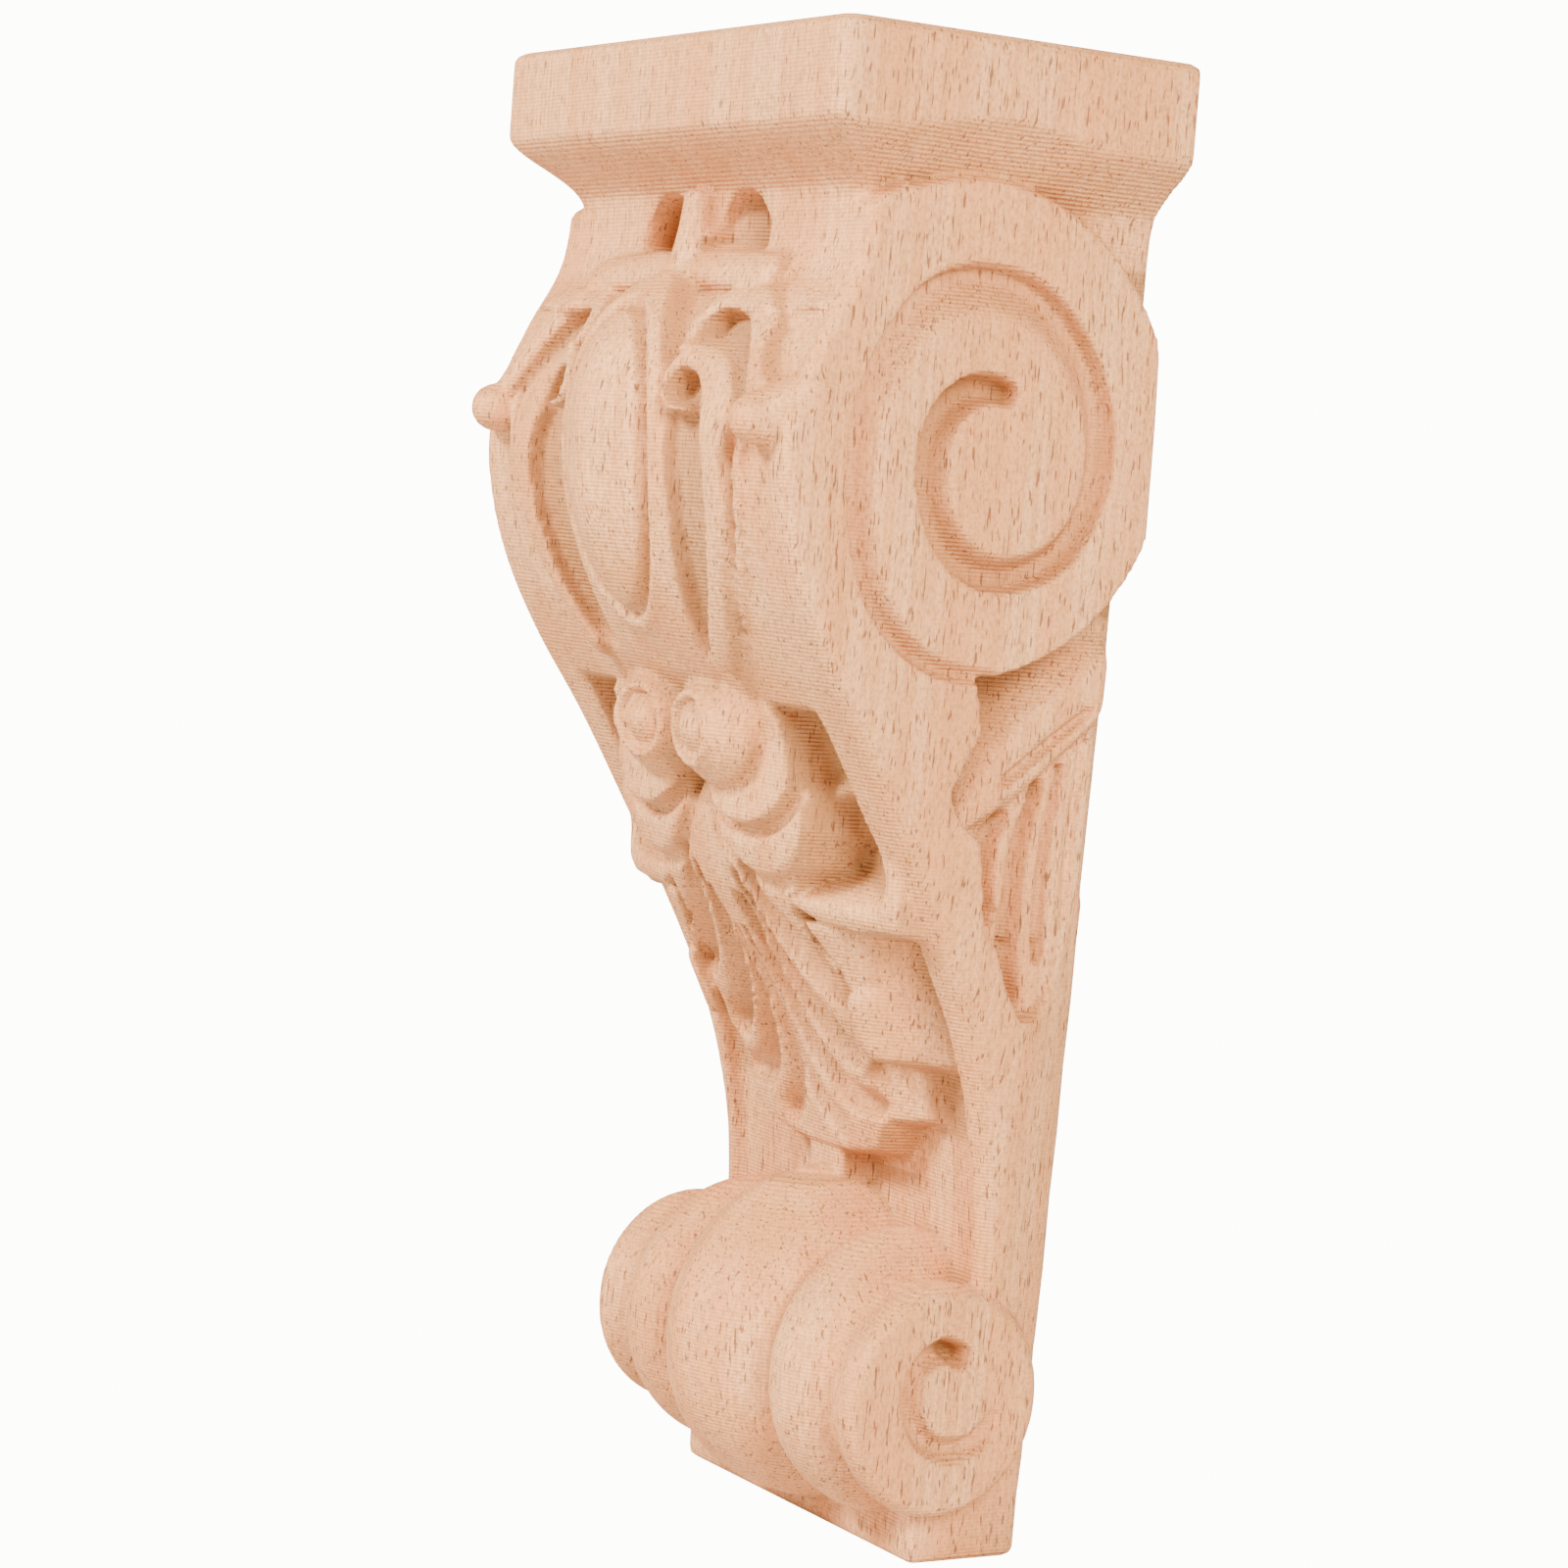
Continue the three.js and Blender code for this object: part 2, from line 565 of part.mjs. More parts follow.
const wood = new THREE.MeshStandardMaterial({ color: 0xe0bd98, roughness: 0.72, metalness: 0 });
const corbel = new THREE.Mesh(corbelGeometry(), wood);
corbel.name = 'corbel';
corbel.position.set(0, 0, -height / 2);

const model = new THREE.Group();
model.add(corbel);
export default model;
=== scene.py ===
"""Carved wood corbel: one piece of raw wood, shown against a plain pale ground.

The carving is described by formulas in millimetres, x across, y towards the wall and z up from
the foot. A closed surface is drawn round the space that they fill, and it stands for the CAD node.
Depths are measured from the wall, and both halves of the front are the same.
"""
import math

import bpy
import numpy as np
from mathutils import Matrix, Vector


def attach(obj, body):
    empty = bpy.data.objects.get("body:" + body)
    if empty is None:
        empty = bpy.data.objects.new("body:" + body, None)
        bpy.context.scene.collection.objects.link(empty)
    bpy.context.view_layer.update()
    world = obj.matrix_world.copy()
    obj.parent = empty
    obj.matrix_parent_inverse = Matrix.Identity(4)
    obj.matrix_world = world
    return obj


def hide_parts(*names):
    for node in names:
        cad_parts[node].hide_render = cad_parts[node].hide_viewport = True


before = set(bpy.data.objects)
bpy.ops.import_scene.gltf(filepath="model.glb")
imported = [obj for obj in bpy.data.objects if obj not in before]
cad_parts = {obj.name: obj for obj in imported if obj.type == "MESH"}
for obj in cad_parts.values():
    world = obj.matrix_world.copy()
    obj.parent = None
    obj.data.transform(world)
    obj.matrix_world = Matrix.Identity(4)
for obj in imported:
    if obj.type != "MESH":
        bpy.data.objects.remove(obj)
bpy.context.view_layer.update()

# Overall height and its middle, which is the frame's origin; one millimetre in metres; and the grid
# on which the surface is drawn
HEIGHT = 200.0
MIDDLE = (0, 0, HEIGHT / 2)
MM = 0.001
GRID = 0.68
MAX_TRIANGLES = 186000

# Half widths of the plain core and of the raised band, by height
CORE_HALF = [(0, 30), (120, 34.4), (165, 36.6), (185, 37)]
BAND_HALF = [(0, 34.2), (40, 35), (60, 36.4), (78, 38), (115, 41), (184, 41)]

# Depth of the front corner by height
CORNER_DEPTH = [
    (20, 12.2), (54, 13.4), (65, 16.4), (72, 19.2), (82, 24.3), (96, 32.1), (108, 39), (120, 46.9),
    (128, 51.2), (138, 54.7), (147, 55.8), (154, 54.4), (162, 51), (170, 46.8), (184, 45.4),
]

# Cap: slab above a cove, cut back round the arch of each side
SLAB_BOTTOM = 188.3
SLAB_HALF = 45.25
SLAB_DEPTH = 54.0
NECK_LEVEL = 177.0
NECK_HALF = 37.0
NECK_DEPTH = 45.4
COVE_POWER = 1.5
COVE_ROOT = 12.0
COVE_ROOT_LEAN = (0.3, 2)
ARCH_RIM = 0.8
ARCH_MOAT = 1.3
ARCH_SLOPE = 0.9
CAP_ROUND = 2.2
CAP_TOP_ROUND = 1.8
CAP_LOW_ROUND = 0.5
MOAT_ROUND = 0.4
COVE_SCALE = 0.86
MOAT_SCALE = 0.8


def ease(t):
    """Smooth step from 0 to 1."""
    t = np.clip(t, 0, 1)
    return t * t * (3 - 2 * t)


def fade(stops, at):
    """Smooth step from a start, over a length."""
    start, length = stops
    return ease((at - start) / length)


def bell(t):
    """Smooth bump: 1 at zero, 0 from one outwards on both sides."""
    return np.clip(1 - t * t, 0, None) ** 2


def dome(distance, reach):
    """Round top: 0 at the edge and 1 from the given reach inwards."""
    return np.sqrt(1 - (1 - np.clip(distance / reach, 0, 1)) ** 2)


def mix(a, b, t):
    return a + (b - a) * t


def curve(stops, at):
    """Smooth curve through sorted (position, value) stops."""
    x, y = np.array(stops, float).T
    slopes = np.gradient(y, x)
    at = np.clip(at, x[0], x[-1])
    i = np.clip(np.searchsorted(x, at, side="right") - 1, 0, len(x) - 2)
    span = x[i + 1] - x[i]
    t = (at - x[i]) / span
    rise = y[i + 1] - y[i]
    start = slopes[i] * span
    end = slopes[i + 1] * span
    return y[i] + start * t + (3 * rise - 2 * start - end) * t ** 2 + (start + end - 2 * rise) * t ** 3


def smooth_max(a, b, blend):
    """Higher of two values, with a round corner of about the given size."""
    near = np.clip(blend - np.abs(a - b), 0, None) / blend
    return np.maximum(a, b) + near * near * blend / 4


def smooth_min(a, b, blend):
    return -smooth_max(-a, -b, blend)


def fine_path(points, steps=6):
    """Points along a smooth line through the given ones."""
    points = np.array(points, float)
    at = np.arange(len(points))
    fine = np.linspace(0, len(points) - 1, (len(points) - 1) * steps + 1)
    return np.stack([curve(np.stack([at, points[:, k]], 1), fine) for k in range(points.shape[1])], 1)


def to_path(points, a, b):
    """Distance from each place (a, b) to a line, its share along the line, and if it lies on the left."""
    best = np.full(np.broadcast(a, b).shape, 1e9)
    share = np.zeros_like(best)
    left = np.zeros(best.shape, bool)
    pieces = len(points) - 1
    for k in range(pieces):
        start = points[k]
        run = points[k + 1] - start
        t = np.clip(((a - start[0]) * run[0] + (b - start[1]) * run[1]) / (run @ run), 0, 1)
        away = np.hypot(a - start[0] - run[0] * t, b - start[1] - run[1] * t)
        nearer = away < best
        best = np.where(nearer, away, best)
        share = np.where(nearer, (k + t) / pieces, share)
        left = np.where(nearer, run[0] * (b - start[1]) > run[1] * (a - start[0]), left)
    return best, share, left


def spread(values, share):
    """Value at a share of a line, from values spaced evenly along it."""
    return curve(list(zip(np.linspace(0, 1, len(values)), values)), share)


def stroke(points, widths, a, b, sharp=1.5):
    """Carved stroke: 1 on its line, 0 at its edges, with half widths that vary along it."""
    away, share, _ = to_path(fine_path(points), a, b)
    return ease((1 - away / spread(widths, share)) * sharp)


def inside_outline(points, a, b):
    """Distance inside a closed outline, negative outside it."""
    points = np.array(points, float)
    closed = np.concatenate([points, points[:1]])
    away, _, _ = to_path(closed, a, b)
    crossings = np.zeros(away.shape, int)
    for k in range(len(points)):
        (a0, b0), (a1, b1) = closed[k], closed[k + 1]
        spans = (b0 > b) != (b1 > b)
        crossings += spans & (a < a0 + (a1 - a0) * (b - b0) / ((b1 - b0) or 1e-9))
    return np.where(crossings % 2 == 1, away, -away)


def on_outline(outline, x, z, wall, start=0.5):
    """Share of a raised or sunk form: 0 outside its outline, 1 inside, with a wall of the given width."""
    return ease(inside_outline(outline, x, z) / wall + start)


def oval(a, b, centre, half):
    """About the distance inside an oval, negative outside it."""
    share = np.hypot((a - centre[0]) / half[0], (b - centre[1]) / half[1])
    slope = np.hypot((a - centre[0]) / half[0] ** 2, (b - centre[1]) / half[1] ** 2)
    return (1 - share) * share / np.maximum(slope, 1e-6)


# Boss on the belly: its outline as centre and half sizes, its depth by height, and the egg in it
BOSS = ((0, 143.5), (13.6, 25.9))
BOSS_DEPTH = [
    (117, 46.6), (121, 50.4), (125, 53.2), (132, 56.2), (138, 58), (144, 59), (150, 59.3), (156, 58.8),
    (161, 57.6), (165, 55.6), (167.6, 53.2), (169.5, 50.8),
]
BOSS_ROUND = 1.2
EGG = ((0, 144.2), (10.2, 20.1))
EGG_RISE = 3.6
EGG_EDGE = 0.6
EGG_LINE = 1.0
EGG_LINE_HALF = 0.9
RING_SWELL = 0.6
RING_PLACE = 1.9
RING_HALF = 1.5

# Straps that end in hooks at the top, as line, half widths and rise
STRAPS = [
    ([(17.4, 150.9), (14.6, 152.2), (13.9, 155.4), (16, 157.5), (20, 157), (23.2, 154.4), (25.4, 150),
      (26.2, 144), (25.4, 136), (22.8, 128), (17.4, 119)],
     (1.3, 1.2, 1.4, 1.9, 2.3, 3.0, 3.6, 3.0, 2.6, 2.5, 2.0), 2.2),
    ([(15.4, 159.6), (14.7, 162), (16.4, 164.8), (20.6, 165.8), (25.4, 164.9), (28.8, 162.2),
      (31, 158.6), (33.8, 154.4)],
     (1.3, 1.6, 1.9, 2.2, 2.7, 2.8, 2.4, 2.6), 2.6),
    ([(24, 165.2), (31, 165.8), (37, 164.6)], (2.0, 2.0, 1.2), 1.0),
    ([(32, 151), (30.4, 144), (29.6, 139), (27.6, 132), (24, 124)], (1.4, 1.5, 1.4, 1.2, 0.8), 1.0),
]
STRAP_ROUND = 1.6
BELLY_CUTS = [
    # outline, depth at the bottom and at the top, width of the walls
    ([(14, 150.3), (14.3, 144), (14.2, 138.4), (13.5, 132), (12.2, 125), (11.8, 119.6), (14, 118.6),
      (17.6, 123), (20.6, 128.1), (23.2, 136), (23.8, 143), (22.4, 148.4), (20.6, 150.4)], (1.6, 6.4), 1.7),
    ([(32.6, 147), (31.4, 141), (29.4, 135), (28, 129), (28.2, 125.4), (30.4, 128), (34, 134), (36.8, 139.4),
      (37, 145.5), (35.4, 148)], (1.6, 5.4), 1.6),
    ([(14.6, 151.9), (14.1, 154), (15.6, 156), (18.4, 155.4), (20.4, 152.8), (21, 150.9), (18.6, 150.9)],
     (3.8, 5.0), 1.1),
    ([(16.4, 160.2), (15.9, 162.5), (18, 163.8), (22, 163.2), (25.2, 161), (28, 158), (29.4, 155),
      (26.4, 157.4), (22, 159.6)], (2.6, 4.4), 1.1),
    ([(34.8, 155.6), (32.2, 159.2), (32, 161.8), (34.6, 163.8), (38.6, 164), (39.2, 160.6), (38.8, 155.6)],
     (5.4, 4.6), 2.2),
]
CUT_EDGE = 0.3
CUT_DEEPENS = 2.2
BELLY_LINE = ([(30.6, 150), (29.2, 144.3), (28.6, 138), (26.8, 132), (22.8, 123)],
              (0.8, 0.8, 0.9, 0.8, 0.6), 1.3)

# Bulge under all of it: rise, reach to the side, and start and length of its slopes by height
BULGE = 3.4
BULGE_REACH = 25.0
BULGE_POWER = 1.5
BULGE_BOTTOM = (108, 16)
BULGE_TOP = (158, 15)

# Neck: a post between two notches, and a roll below each notch
POST_CREST = [(164, 51.6), (170, 50.4), (177.5, 49.4), (184, 49)]
POST_HALF = [(164, 4.6), (170, 3.8), (178, 2.8), (184, 2.8)]
POST_ROUND = 2.8
POST_FLANK = 4
POST_MIDDLE = 172.6
POST_REACH = 7.2
POST_FADE = 2.4
NOTCH = ((9.6, 173.8), (7.0, 6.9))
NOTCH_BOTTOM = 171.9
NOTCH_FLOOR = 44.8
NOTCH_SLOPE = 0.4
NOTCH_WALL = 1.3
NOTCH_STEP = 7
FAR_OUT = 20
ROLL = ([(2, 170), (11, 169.4), (22.4, 169)], (2.4, 3.1, 2.8), 3.8)
ROLL_ROUND = 2.6
ROLL_SINK = 0.4

# Pair of buds below the boss, each with a sheath that shows below it
BUD = ((8.2, 110.2), (9.8, 8.7))
BUD_RIM = 40.6
BUD_RISE = 6.9
BUD_FLANK = 6
BUD_BLEND = 0.6
BUD_EYE = ((6.9, 109.3), (5.0, 4.7))
BUD_EYE_RIM = 0.9
BUD_EYE_RIM_HALF = 1.1
BUD_EYE_SINK = 1.2
BUD_EYE_WALL = 1.2
BUD_EYE_SWELL = 1.5
BUD_EYE_REACH = 4.2
SHEATHS = [((13, 107), (10.8, 9.6), 1.7), ((14.4, 103.2), (11.2, 12.6), 1.1)]
SHEATH_EDGE = 0.9
SHEATH_LIP = (1.0, 1.4, 0.7)

# Leaf that hangs below the buds: its height over the corner, the outline of the right half of its
# middle, the lobes beside it and its hollows
LEAF_RISE = [
    (48, 3.4), (54, 4.2), (60, 5.2), (70, 6.9), (80, 8.0), (90, 8.8), (98, 6.6), (104, 2.2), (109, -1),
    (114, -2.4),
]
LEAF_OUTLINE = [
    (-4, 117), (22.2, 114.6), (23, 108), (23.2, 104.4), (24.8, 101.4), (25, 97.6), (22.8, 92.6),
    (19.4, 90.4), (16.6, 86.6), (17.4, 82.2), (20.4, 79), (20.4, 75), (18.6, 69), (19.4, 65.8),
    (16.6, 63.6), (18, 60), (17.4, 56.6), (14.6, 52.9), (7, 51.6), (-4, 51.4),
]
LEAF_WALL = 1.5
LEAF_FALL = 0.28
LEAF_FALL_REACH = 24
LEAF_LOBES = [
    # outline, start and length of the slope that falls off it, whether it falls sideways, share left
    ([(8, 91.4), (16.6, 86.4), (21, 84.7), (28, 84.3), (36, 85.2), (36, 94.4), (27, 95.6), (17, 94)],
     86.6, 8.4, False, 0.12),
    ([(16, 85.6), (19.6, 79), (20, 75.6), (18.4, 69.6), (19.6, 66.3), (28, 66.5), (36, 67.8), (36, 76),
      (33, 85.6)], 21, 10.5, True, 0.03),
    ([(8, 70), (23.4, 70), (23.4, 58.6), (15.5, 57), (8, 57.2)], 14.5, 9.5, True, 0.42),
]
KNUCKLE = ((23.2, 71.2), (4.4, 5.4))
KNUCKLE_RISE = 1.7
KNUCKLE_ROUND = 2.2
LEAF_HOLLOWS = [
    # line from the stem outwards, half widths, depth
    ([(7.4, 92), (9.8, 85.4), (14.2, 79.6), (18, 75.4)], (1.0, 2.6, 3.6, 2.8), 2.9),
    ([(5.2, 90), (6.2, 81), (9.4, 73), (14.4, 67.4)], (0.8, 2.1, 3.1, 2.8), 2.9),
    ([(3.2, 87), (3.4, 76), (6.2, 66.6), (10.8, 61), (16, 60.2)], (0.7, 1.8, 2.7, 2.7, 2.2), 2.6),
    ([(1.0, 82), (0.9, 70), (2.4, 60.4), (6.4, 55.6)], (0.5, 1.3, 2.1, 2.0), 1.9),
]
BRIDGE = ([(22, 102.6), (27, 103.4), (31, 104)], (2.4, 1.8, 1.6), 0.5)
STEM_RISE = 3.4
STEM_HALF = 5.6
STEM_WALL = 1.6
STEM_BOTTOM = 46.5
STEM_TOP = 56
STEM_TOP_FADE = 3

# Field round the leaf: its top, its edge by height, and its depth at the foot and higher up
FIELD_TOP = 113.6
FIELD_TOP_WALL = 0.9
FIELD_WALL = 1.8
FIELD_SINK = (1.6, 4.4)
FIELD_SINK_FADE = (44, 40)
FIELD_EDGE = [(44, 31), (60, 31.6), (75, 32.6), (90, 32.8), (103, 31.2), (114, 31.2)]


def corner_depth(z):
    return curve(CORNER_DEPTH, z)


def band_half(z):
    return curve(BAND_HALF, z)


def belly_depth(x, z):
    """Depth of the carving above the field."""
    across = np.clip(1 - (x / BULGE_REACH) ** 2, 0, 1) ** BULGE_POWER
    upward = fade(BULGE_BOTTOM, z) * (1 - fade(BULGE_TOP, z))
    depth = corner_depth(z) + BULGE * across * upward
    for points, widths, rise in STRAPS:
        away, share, _ = to_path(fine_path(points), x, z)
        depth = depth + rise * dome(spread(widths, share) - away, STRAP_ROUND)
    points, widths, cut = BELLY_LINE
    depth = depth - cut * stroke(points, widths, x, z)
    for outline, (low_cut, high_cut), wall in BELLY_CUTS:
        levels = [level for _, level in outline]
        height = (z - min(levels)) / (max(levels) - min(levels))
        cut = mix(low_cut, high_cut, ease(height * CUT_DEEPENS))
        depth = depth - cut * on_outline(outline, x, z, wall, CUT_EDGE)
    points, widths, rise = ROLL
    away, share, _ = to_path(fine_path(points), x, z)
    roll = rise * dome(spread(widths, share) - away, ROLL_ROUND) - ROLL_SINK
    depth = np.maximum(depth, corner_depth(z) + roll)
    depth = mix(depth, boss_depth(x, z), ease(oval(x, z, *BOSS) + 0.5))
    return np.maximum(depth, post_depth(x, z))


def boss_depth(x, z):
    """Depth of the boss, with a ring, a fine line and the egg inside them."""
    in_egg = oval(x, z, *EGG)
    ring = RING_SWELL * bell(np.clip((in_egg + RING_PLACE) / RING_HALF, -1, 1))
    line = EGG_LINE * bell(np.clip(in_egg / EGG_LINE_HALF, -1, 1))
    egg = EGG_RISE * np.sqrt(np.clip(in_egg / EGG[1][0], 0, 1)) * ease(in_egg / EGG_EDGE)
    return curve(BOSS_DEPTH, z) - BOSS_ROUND * (x / BOSS[1][0]) ** 2 + ring - line + egg


def post_depth(x, z):
    """Depth of the post between the notches; far back above and below it."""
    flank = POST_FLANK * (1 - dome(curve(POST_HALF, z) - np.abs(x), POST_ROUND))
    beyond = FAR_OUT * ease((np.abs(z - POST_MIDDLE) - POST_REACH) / POST_FADE)
    return curve(POST_CREST, z) - flank - beyond


def leaf_relief(x, z):
    """Carving of the field and of the leaf that lies in it, over the depth of the corner."""
    sink = mix(*FIELD_SINK, fade(FIELD_SINK_FADE, z))
    ground = -sink * ease((curve(FIELD_EDGE, z) - x) / FIELD_WALL + 0.5)
    points, widths, share = BRIDGE
    ground = ground * (1 - share * stroke(points, widths, x, z, 1.0))
    on_leaf = on_outline(LEAF_OUTLINE, x, z, LEAF_WALL)
    for outline, start, length, sideways, left in LEAF_LOBES:
        fall = ease(((x if sideways else z) - start) / length)
        lobe = on_outline(outline, x, z, LEAF_WALL) * (1 - (1 - left) * fall)
        on_leaf = np.maximum(on_leaf, lobe)
    cut = 0
    for points, widths, depth in LEAF_HOLLOWS:
        away, share, _ = to_path(fine_path(points), x, z)
        cut = np.maximum(cut, depth * np.clip(1 - (away / spread(widths, share)) ** 2, 0, 1))
    rise = curve(LEAF_RISE, z) * (1 - LEAF_FALL * (x / LEAF_FALL_REACH) ** 2) - cut
    rise = rise + KNUCKLE_RISE * dome(oval(x, z, *KNUCKLE), KNUCKLE_ROUND)
    lip_place, lip_half, lip_share = SHEATH_LIP
    for centre, half_sizes, step in SHEATHS:
        layer = oval(x, z, centre, half_sizes)
        lip = lip_share * bell(np.clip((layer + lip_place) / lip_half, -1, 1))
        rise = rise + step * (ease(layer / SHEATH_EDGE + 0.5) - lip)
    on_stem = ease((STEM_HALF - x) / STEM_WALL) * ease((z - STEM_BOTTOM) / STEM_WALL)
    stem = mix(ground, STEM_RISE, on_stem * ease((STEM_TOP - z) / STEM_TOP_FADE))
    return np.maximum(mix(ground, rise, on_leaf), stem)


def notch_depth(x, z):
    """Depth down to which the notches in the neck are cut; far out beside them."""
    side = np.abs(x)
    inside = np.minimum(oval(side, z, *NOTCH), z - NOTCH_BOTTOM)
    floor = NOTCH_FLOOR - NOTCH_SLOPE * (side - NOTCH[0][0] + NOTCH[1][0])
    return floor + NOTCH_STEP * (1 - ease(inside / NOTCH_WALL)) + FAR_OUT * np.clip(-inside, 0, None)


def bud_depth(x, z):
    """Depth of a bud, with a rimmed eye; it drops steeply at its edge."""
    inside = oval(x, z, *BUD)
    round_top = BUD_RIM + BUD_RISE * dome(inside, BUD[1][1])
    in_eye = oval(x, z, *BUD_EYE)
    rim = BUD_EYE_RIM * bell(np.clip(in_eye / BUD_EYE_RIM_HALF, -1, 1))
    eye = BUD_EYE_SWELL * ease(in_eye / BUD_EYE_REACH) - BUD_EYE_SINK * ease(in_eye / BUD_EYE_WALL)
    return round_top + rim + eye + BUD_FLANK * np.minimum(inside, 0)


def front_depth(signed_x, z):
    """Depth of the carved front."""
    x = np.abs(signed_x)
    in_field = ease((FIELD_TOP - z) / FIELD_TOP_WALL + 0.5)
    depth = mix(belly_depth(x, z), corner_depth(z) + leaf_relief(x, z), in_field)
    return smooth_max(depth, bud_depth(x, z), BUD_BLEND)


# Side faces, as (depth from the wall, height)
VOLUTE_LINE = [
    (22.7, 119.7), (30.2, 120.4), (36, 123.2), (40.6, 128), (43.2, 133.7), (44.8, 142.2), (44.8, 150.7),
    (42.2, 159), (37.6, 165.8), (32.7, 169.2), (26, 170.2), (19.1, 168.5), (13.4, 163.7), (9.2, 157.2),
    (7.9, 149.7), (9, 142), (12.8, 136), (18.6, 132.9), (24.7, 132.5), (29.8, 135), (33, 139.6),
    (34.2, 144.4), (34, 148.8), (32.2, 152.8), (29.2, 155.4), (26, 156.2), (23.6, 155.8),
]
# Along that line: half width, start and length of the ramp, and depth of the groove
VOLUTE_HALF = (0.8, 1.3, 1.5, 1.5, 1.4, 1.4, 1.6, 1.9, 2.2, 1.6)
VOLUTE_FLAT = (0.8, 1.3, 1.5, 1.4, 1.2, 1.6, 2.2, 2.8, 3.4, 2.4)
VOLUTE_RAMP = (1.2, 2.4, 3.4, 5.4, 5.6, 3.2, 2.6, 2.2, 1.4, 1.0)
VOLUTE_DEPTH = (1.2, 2.8, 3.0, 2.8, 3.0, 3.2, 3.4, 3.8, 4.4, 4.0)
VOLUTE_WALL = 0.7

# Raised band: its arch, the edge of the strip that runs down from it, and its top behind the arch
ARCH = ((28.5, 150.8), (31.3, 31.9))
STRIP_BACK = [
    (24, 126), (24.2, 119.4), (23.4, 116.4), (22.6, 112.6), (25, 107), (26.1, 104.2), (24.8, 101.6),
    (22.9, 99.8), (20.6, 98.4), (19.6, 92.9), (18.4, 86.6), (15.8, 84), (13.9, 79.3), (10.9, 74.8),
    (8.4, 74.9), (6, 77.9), (4.2, 83.9), (2.8, 90), (-8, 92), (-8, 30), (60, 30), (60, 126),
]
BAND_TOP = [(36, 150), (40, 181.4), (46, 178), (70, 176), (70, 118), (36, 118)]

# Leaf on the side, behind the strip: a finger that slopes up, hollows, and a sunk part above the finger
FINGER = ([(1.4, 118.8), (10.8, 110.6), (17.6, 104.4), (22.4, 99.8)], (3.6, 4.4, 3.4, 1.2), 3.4)
FINGER_SLOPE = 2.3
FINGER_SHARP = 1.5
SIDE_HOLLOWS = [
    # line, half widths, depth
    ([(4.1, 115.6), (10.6, 110.6), (16, 106.2)], (0.9, 1.2, 1.2), 1.7),
    ([(1.6, 113.4), (8.4, 108), (13, 103.4)], (0.7, 0.9, 0.8), 1.0),
    ([(15.4, 101), (17.2, 97.4), (17, 92), (15.6, 88.2)], (1.8, 2.3, 2.3, 1.6), 3.4),
    ([(9.6, 105.6), (11.6, 98), (12, 90), (12.2, 83), (10.8, 77)], (1.2, 1.9, 2.1, 2.3, 1.8), 3.3),
    ([(6.4, 108), (7.6, 99), (7.6, 90), (7.2, 82.6)], (0.9, 1.2, 1.4, 1.2), 2.2),
    ([(3.4, 110), (3.8, 99), (3.4, 88)], (0.6, 0.9, 0.8), 1.1),
]
HOLLOW_SHARP = 1.3
SIDE_FLUTED = 1.7
SIDE_FADE = (3, 0.15)
SIDE_RECESS = -2.4
RECESS_BOTTOM = (100, 6)
RECESS_BACK = (7, 13)
BAND_LEAN_BACK = (-2, 14)
BAND_LEAN_UP = (104, 12)
BAND_LIFT = 0.3


def on_band(depth, z):
    """Distance inside the outline of the raised band, negative outside it."""
    outlines = np.maximum(inside_outline(BAND_TOP, depth, z), inside_outline(STRIP_BACK, depth, z))
    return np.maximum(oval(depth, z, *ARCH), outlines)


def volute_groove(depth, z):
    """Depth of the volute's groove: a steep outer wall, a floor, and a ramp up towards the eye."""
    away, share, left = to_path(fine_path(VOLUTE_LINE, 3), depth, z)
    from_wall = np.where(left, away, -away) + spread(VOLUTE_HALF, share)
    rising = ease((from_wall - spread(VOLUTE_FLAT, share)) / spread(VOLUTE_RAMP, share))
    return spread(VOLUTE_DEPTH, share) * ease(from_wall / VOLUTE_WALL + 0.5) * (1 - rising)


def side_half(depth, z):
    """Half width of the corbel at a place on its side."""
    core = curve(CORE_HALF, z)
    lean = np.maximum(fade(BAND_LEAN_BACK, depth), fade(BAND_LEAN_UP, z))
    band = mix(core + BAND_LIFT, band_half(z), lean)
    points, widths, rise = FINGER
    away, share, above = to_path(fine_path(points), depth, z)
    recess = SIDE_RECESS * fade(RECESS_BOTTOM, z) * fade(RECESS_BACK, depth)
    reach = spread(widths, share) * np.where(above, FINGER_SLOPE, 1)
    leaf = mix(np.where(above, recess, SIDE_FLUTED), rise, ease(FINGER_SHARP * (1 - away / reach)))
    for points, widths, cut in SIDE_HOLLOWS:
        leaf = leaf - cut * stroke(points, widths, depth, z, HOLLOW_SHARP)
    leaf = leaf * ease(depth / SIDE_FADE[0] + SIDE_FADE[1])
    half = mix(core + leaf, band, ease(on_band(depth, z) + 0.5))
    return half - volute_groove(depth, z)


# Scroll at the foot: pillows across its width as (middle, half length, radius, drop at the ends)
PILLOWS = [(0, 12.6, 21.8, 5.2), (18.8, 8.2, 18.6, 6.0), (33.2, 7.2, 15.0, 4.4)]
PILLOW_POWER = 2.4
PILLOW_REACH = 1.2

# Its middle at stops across the width, as depth and height
SCROLL_STOPS = (0, 13, 18, 33, 36)
SCROLL_DEPTHS = (16.2, 13.4, 14.6, 16.4, 16.4)
SCROLL_LEVELS = (26.0, 23.6, 24.4, 23.4, 23.4)
SCROLL_TALLER = 1.04
SCROLL_END = 35.4
SCROLL_END_ROUND = 2.4

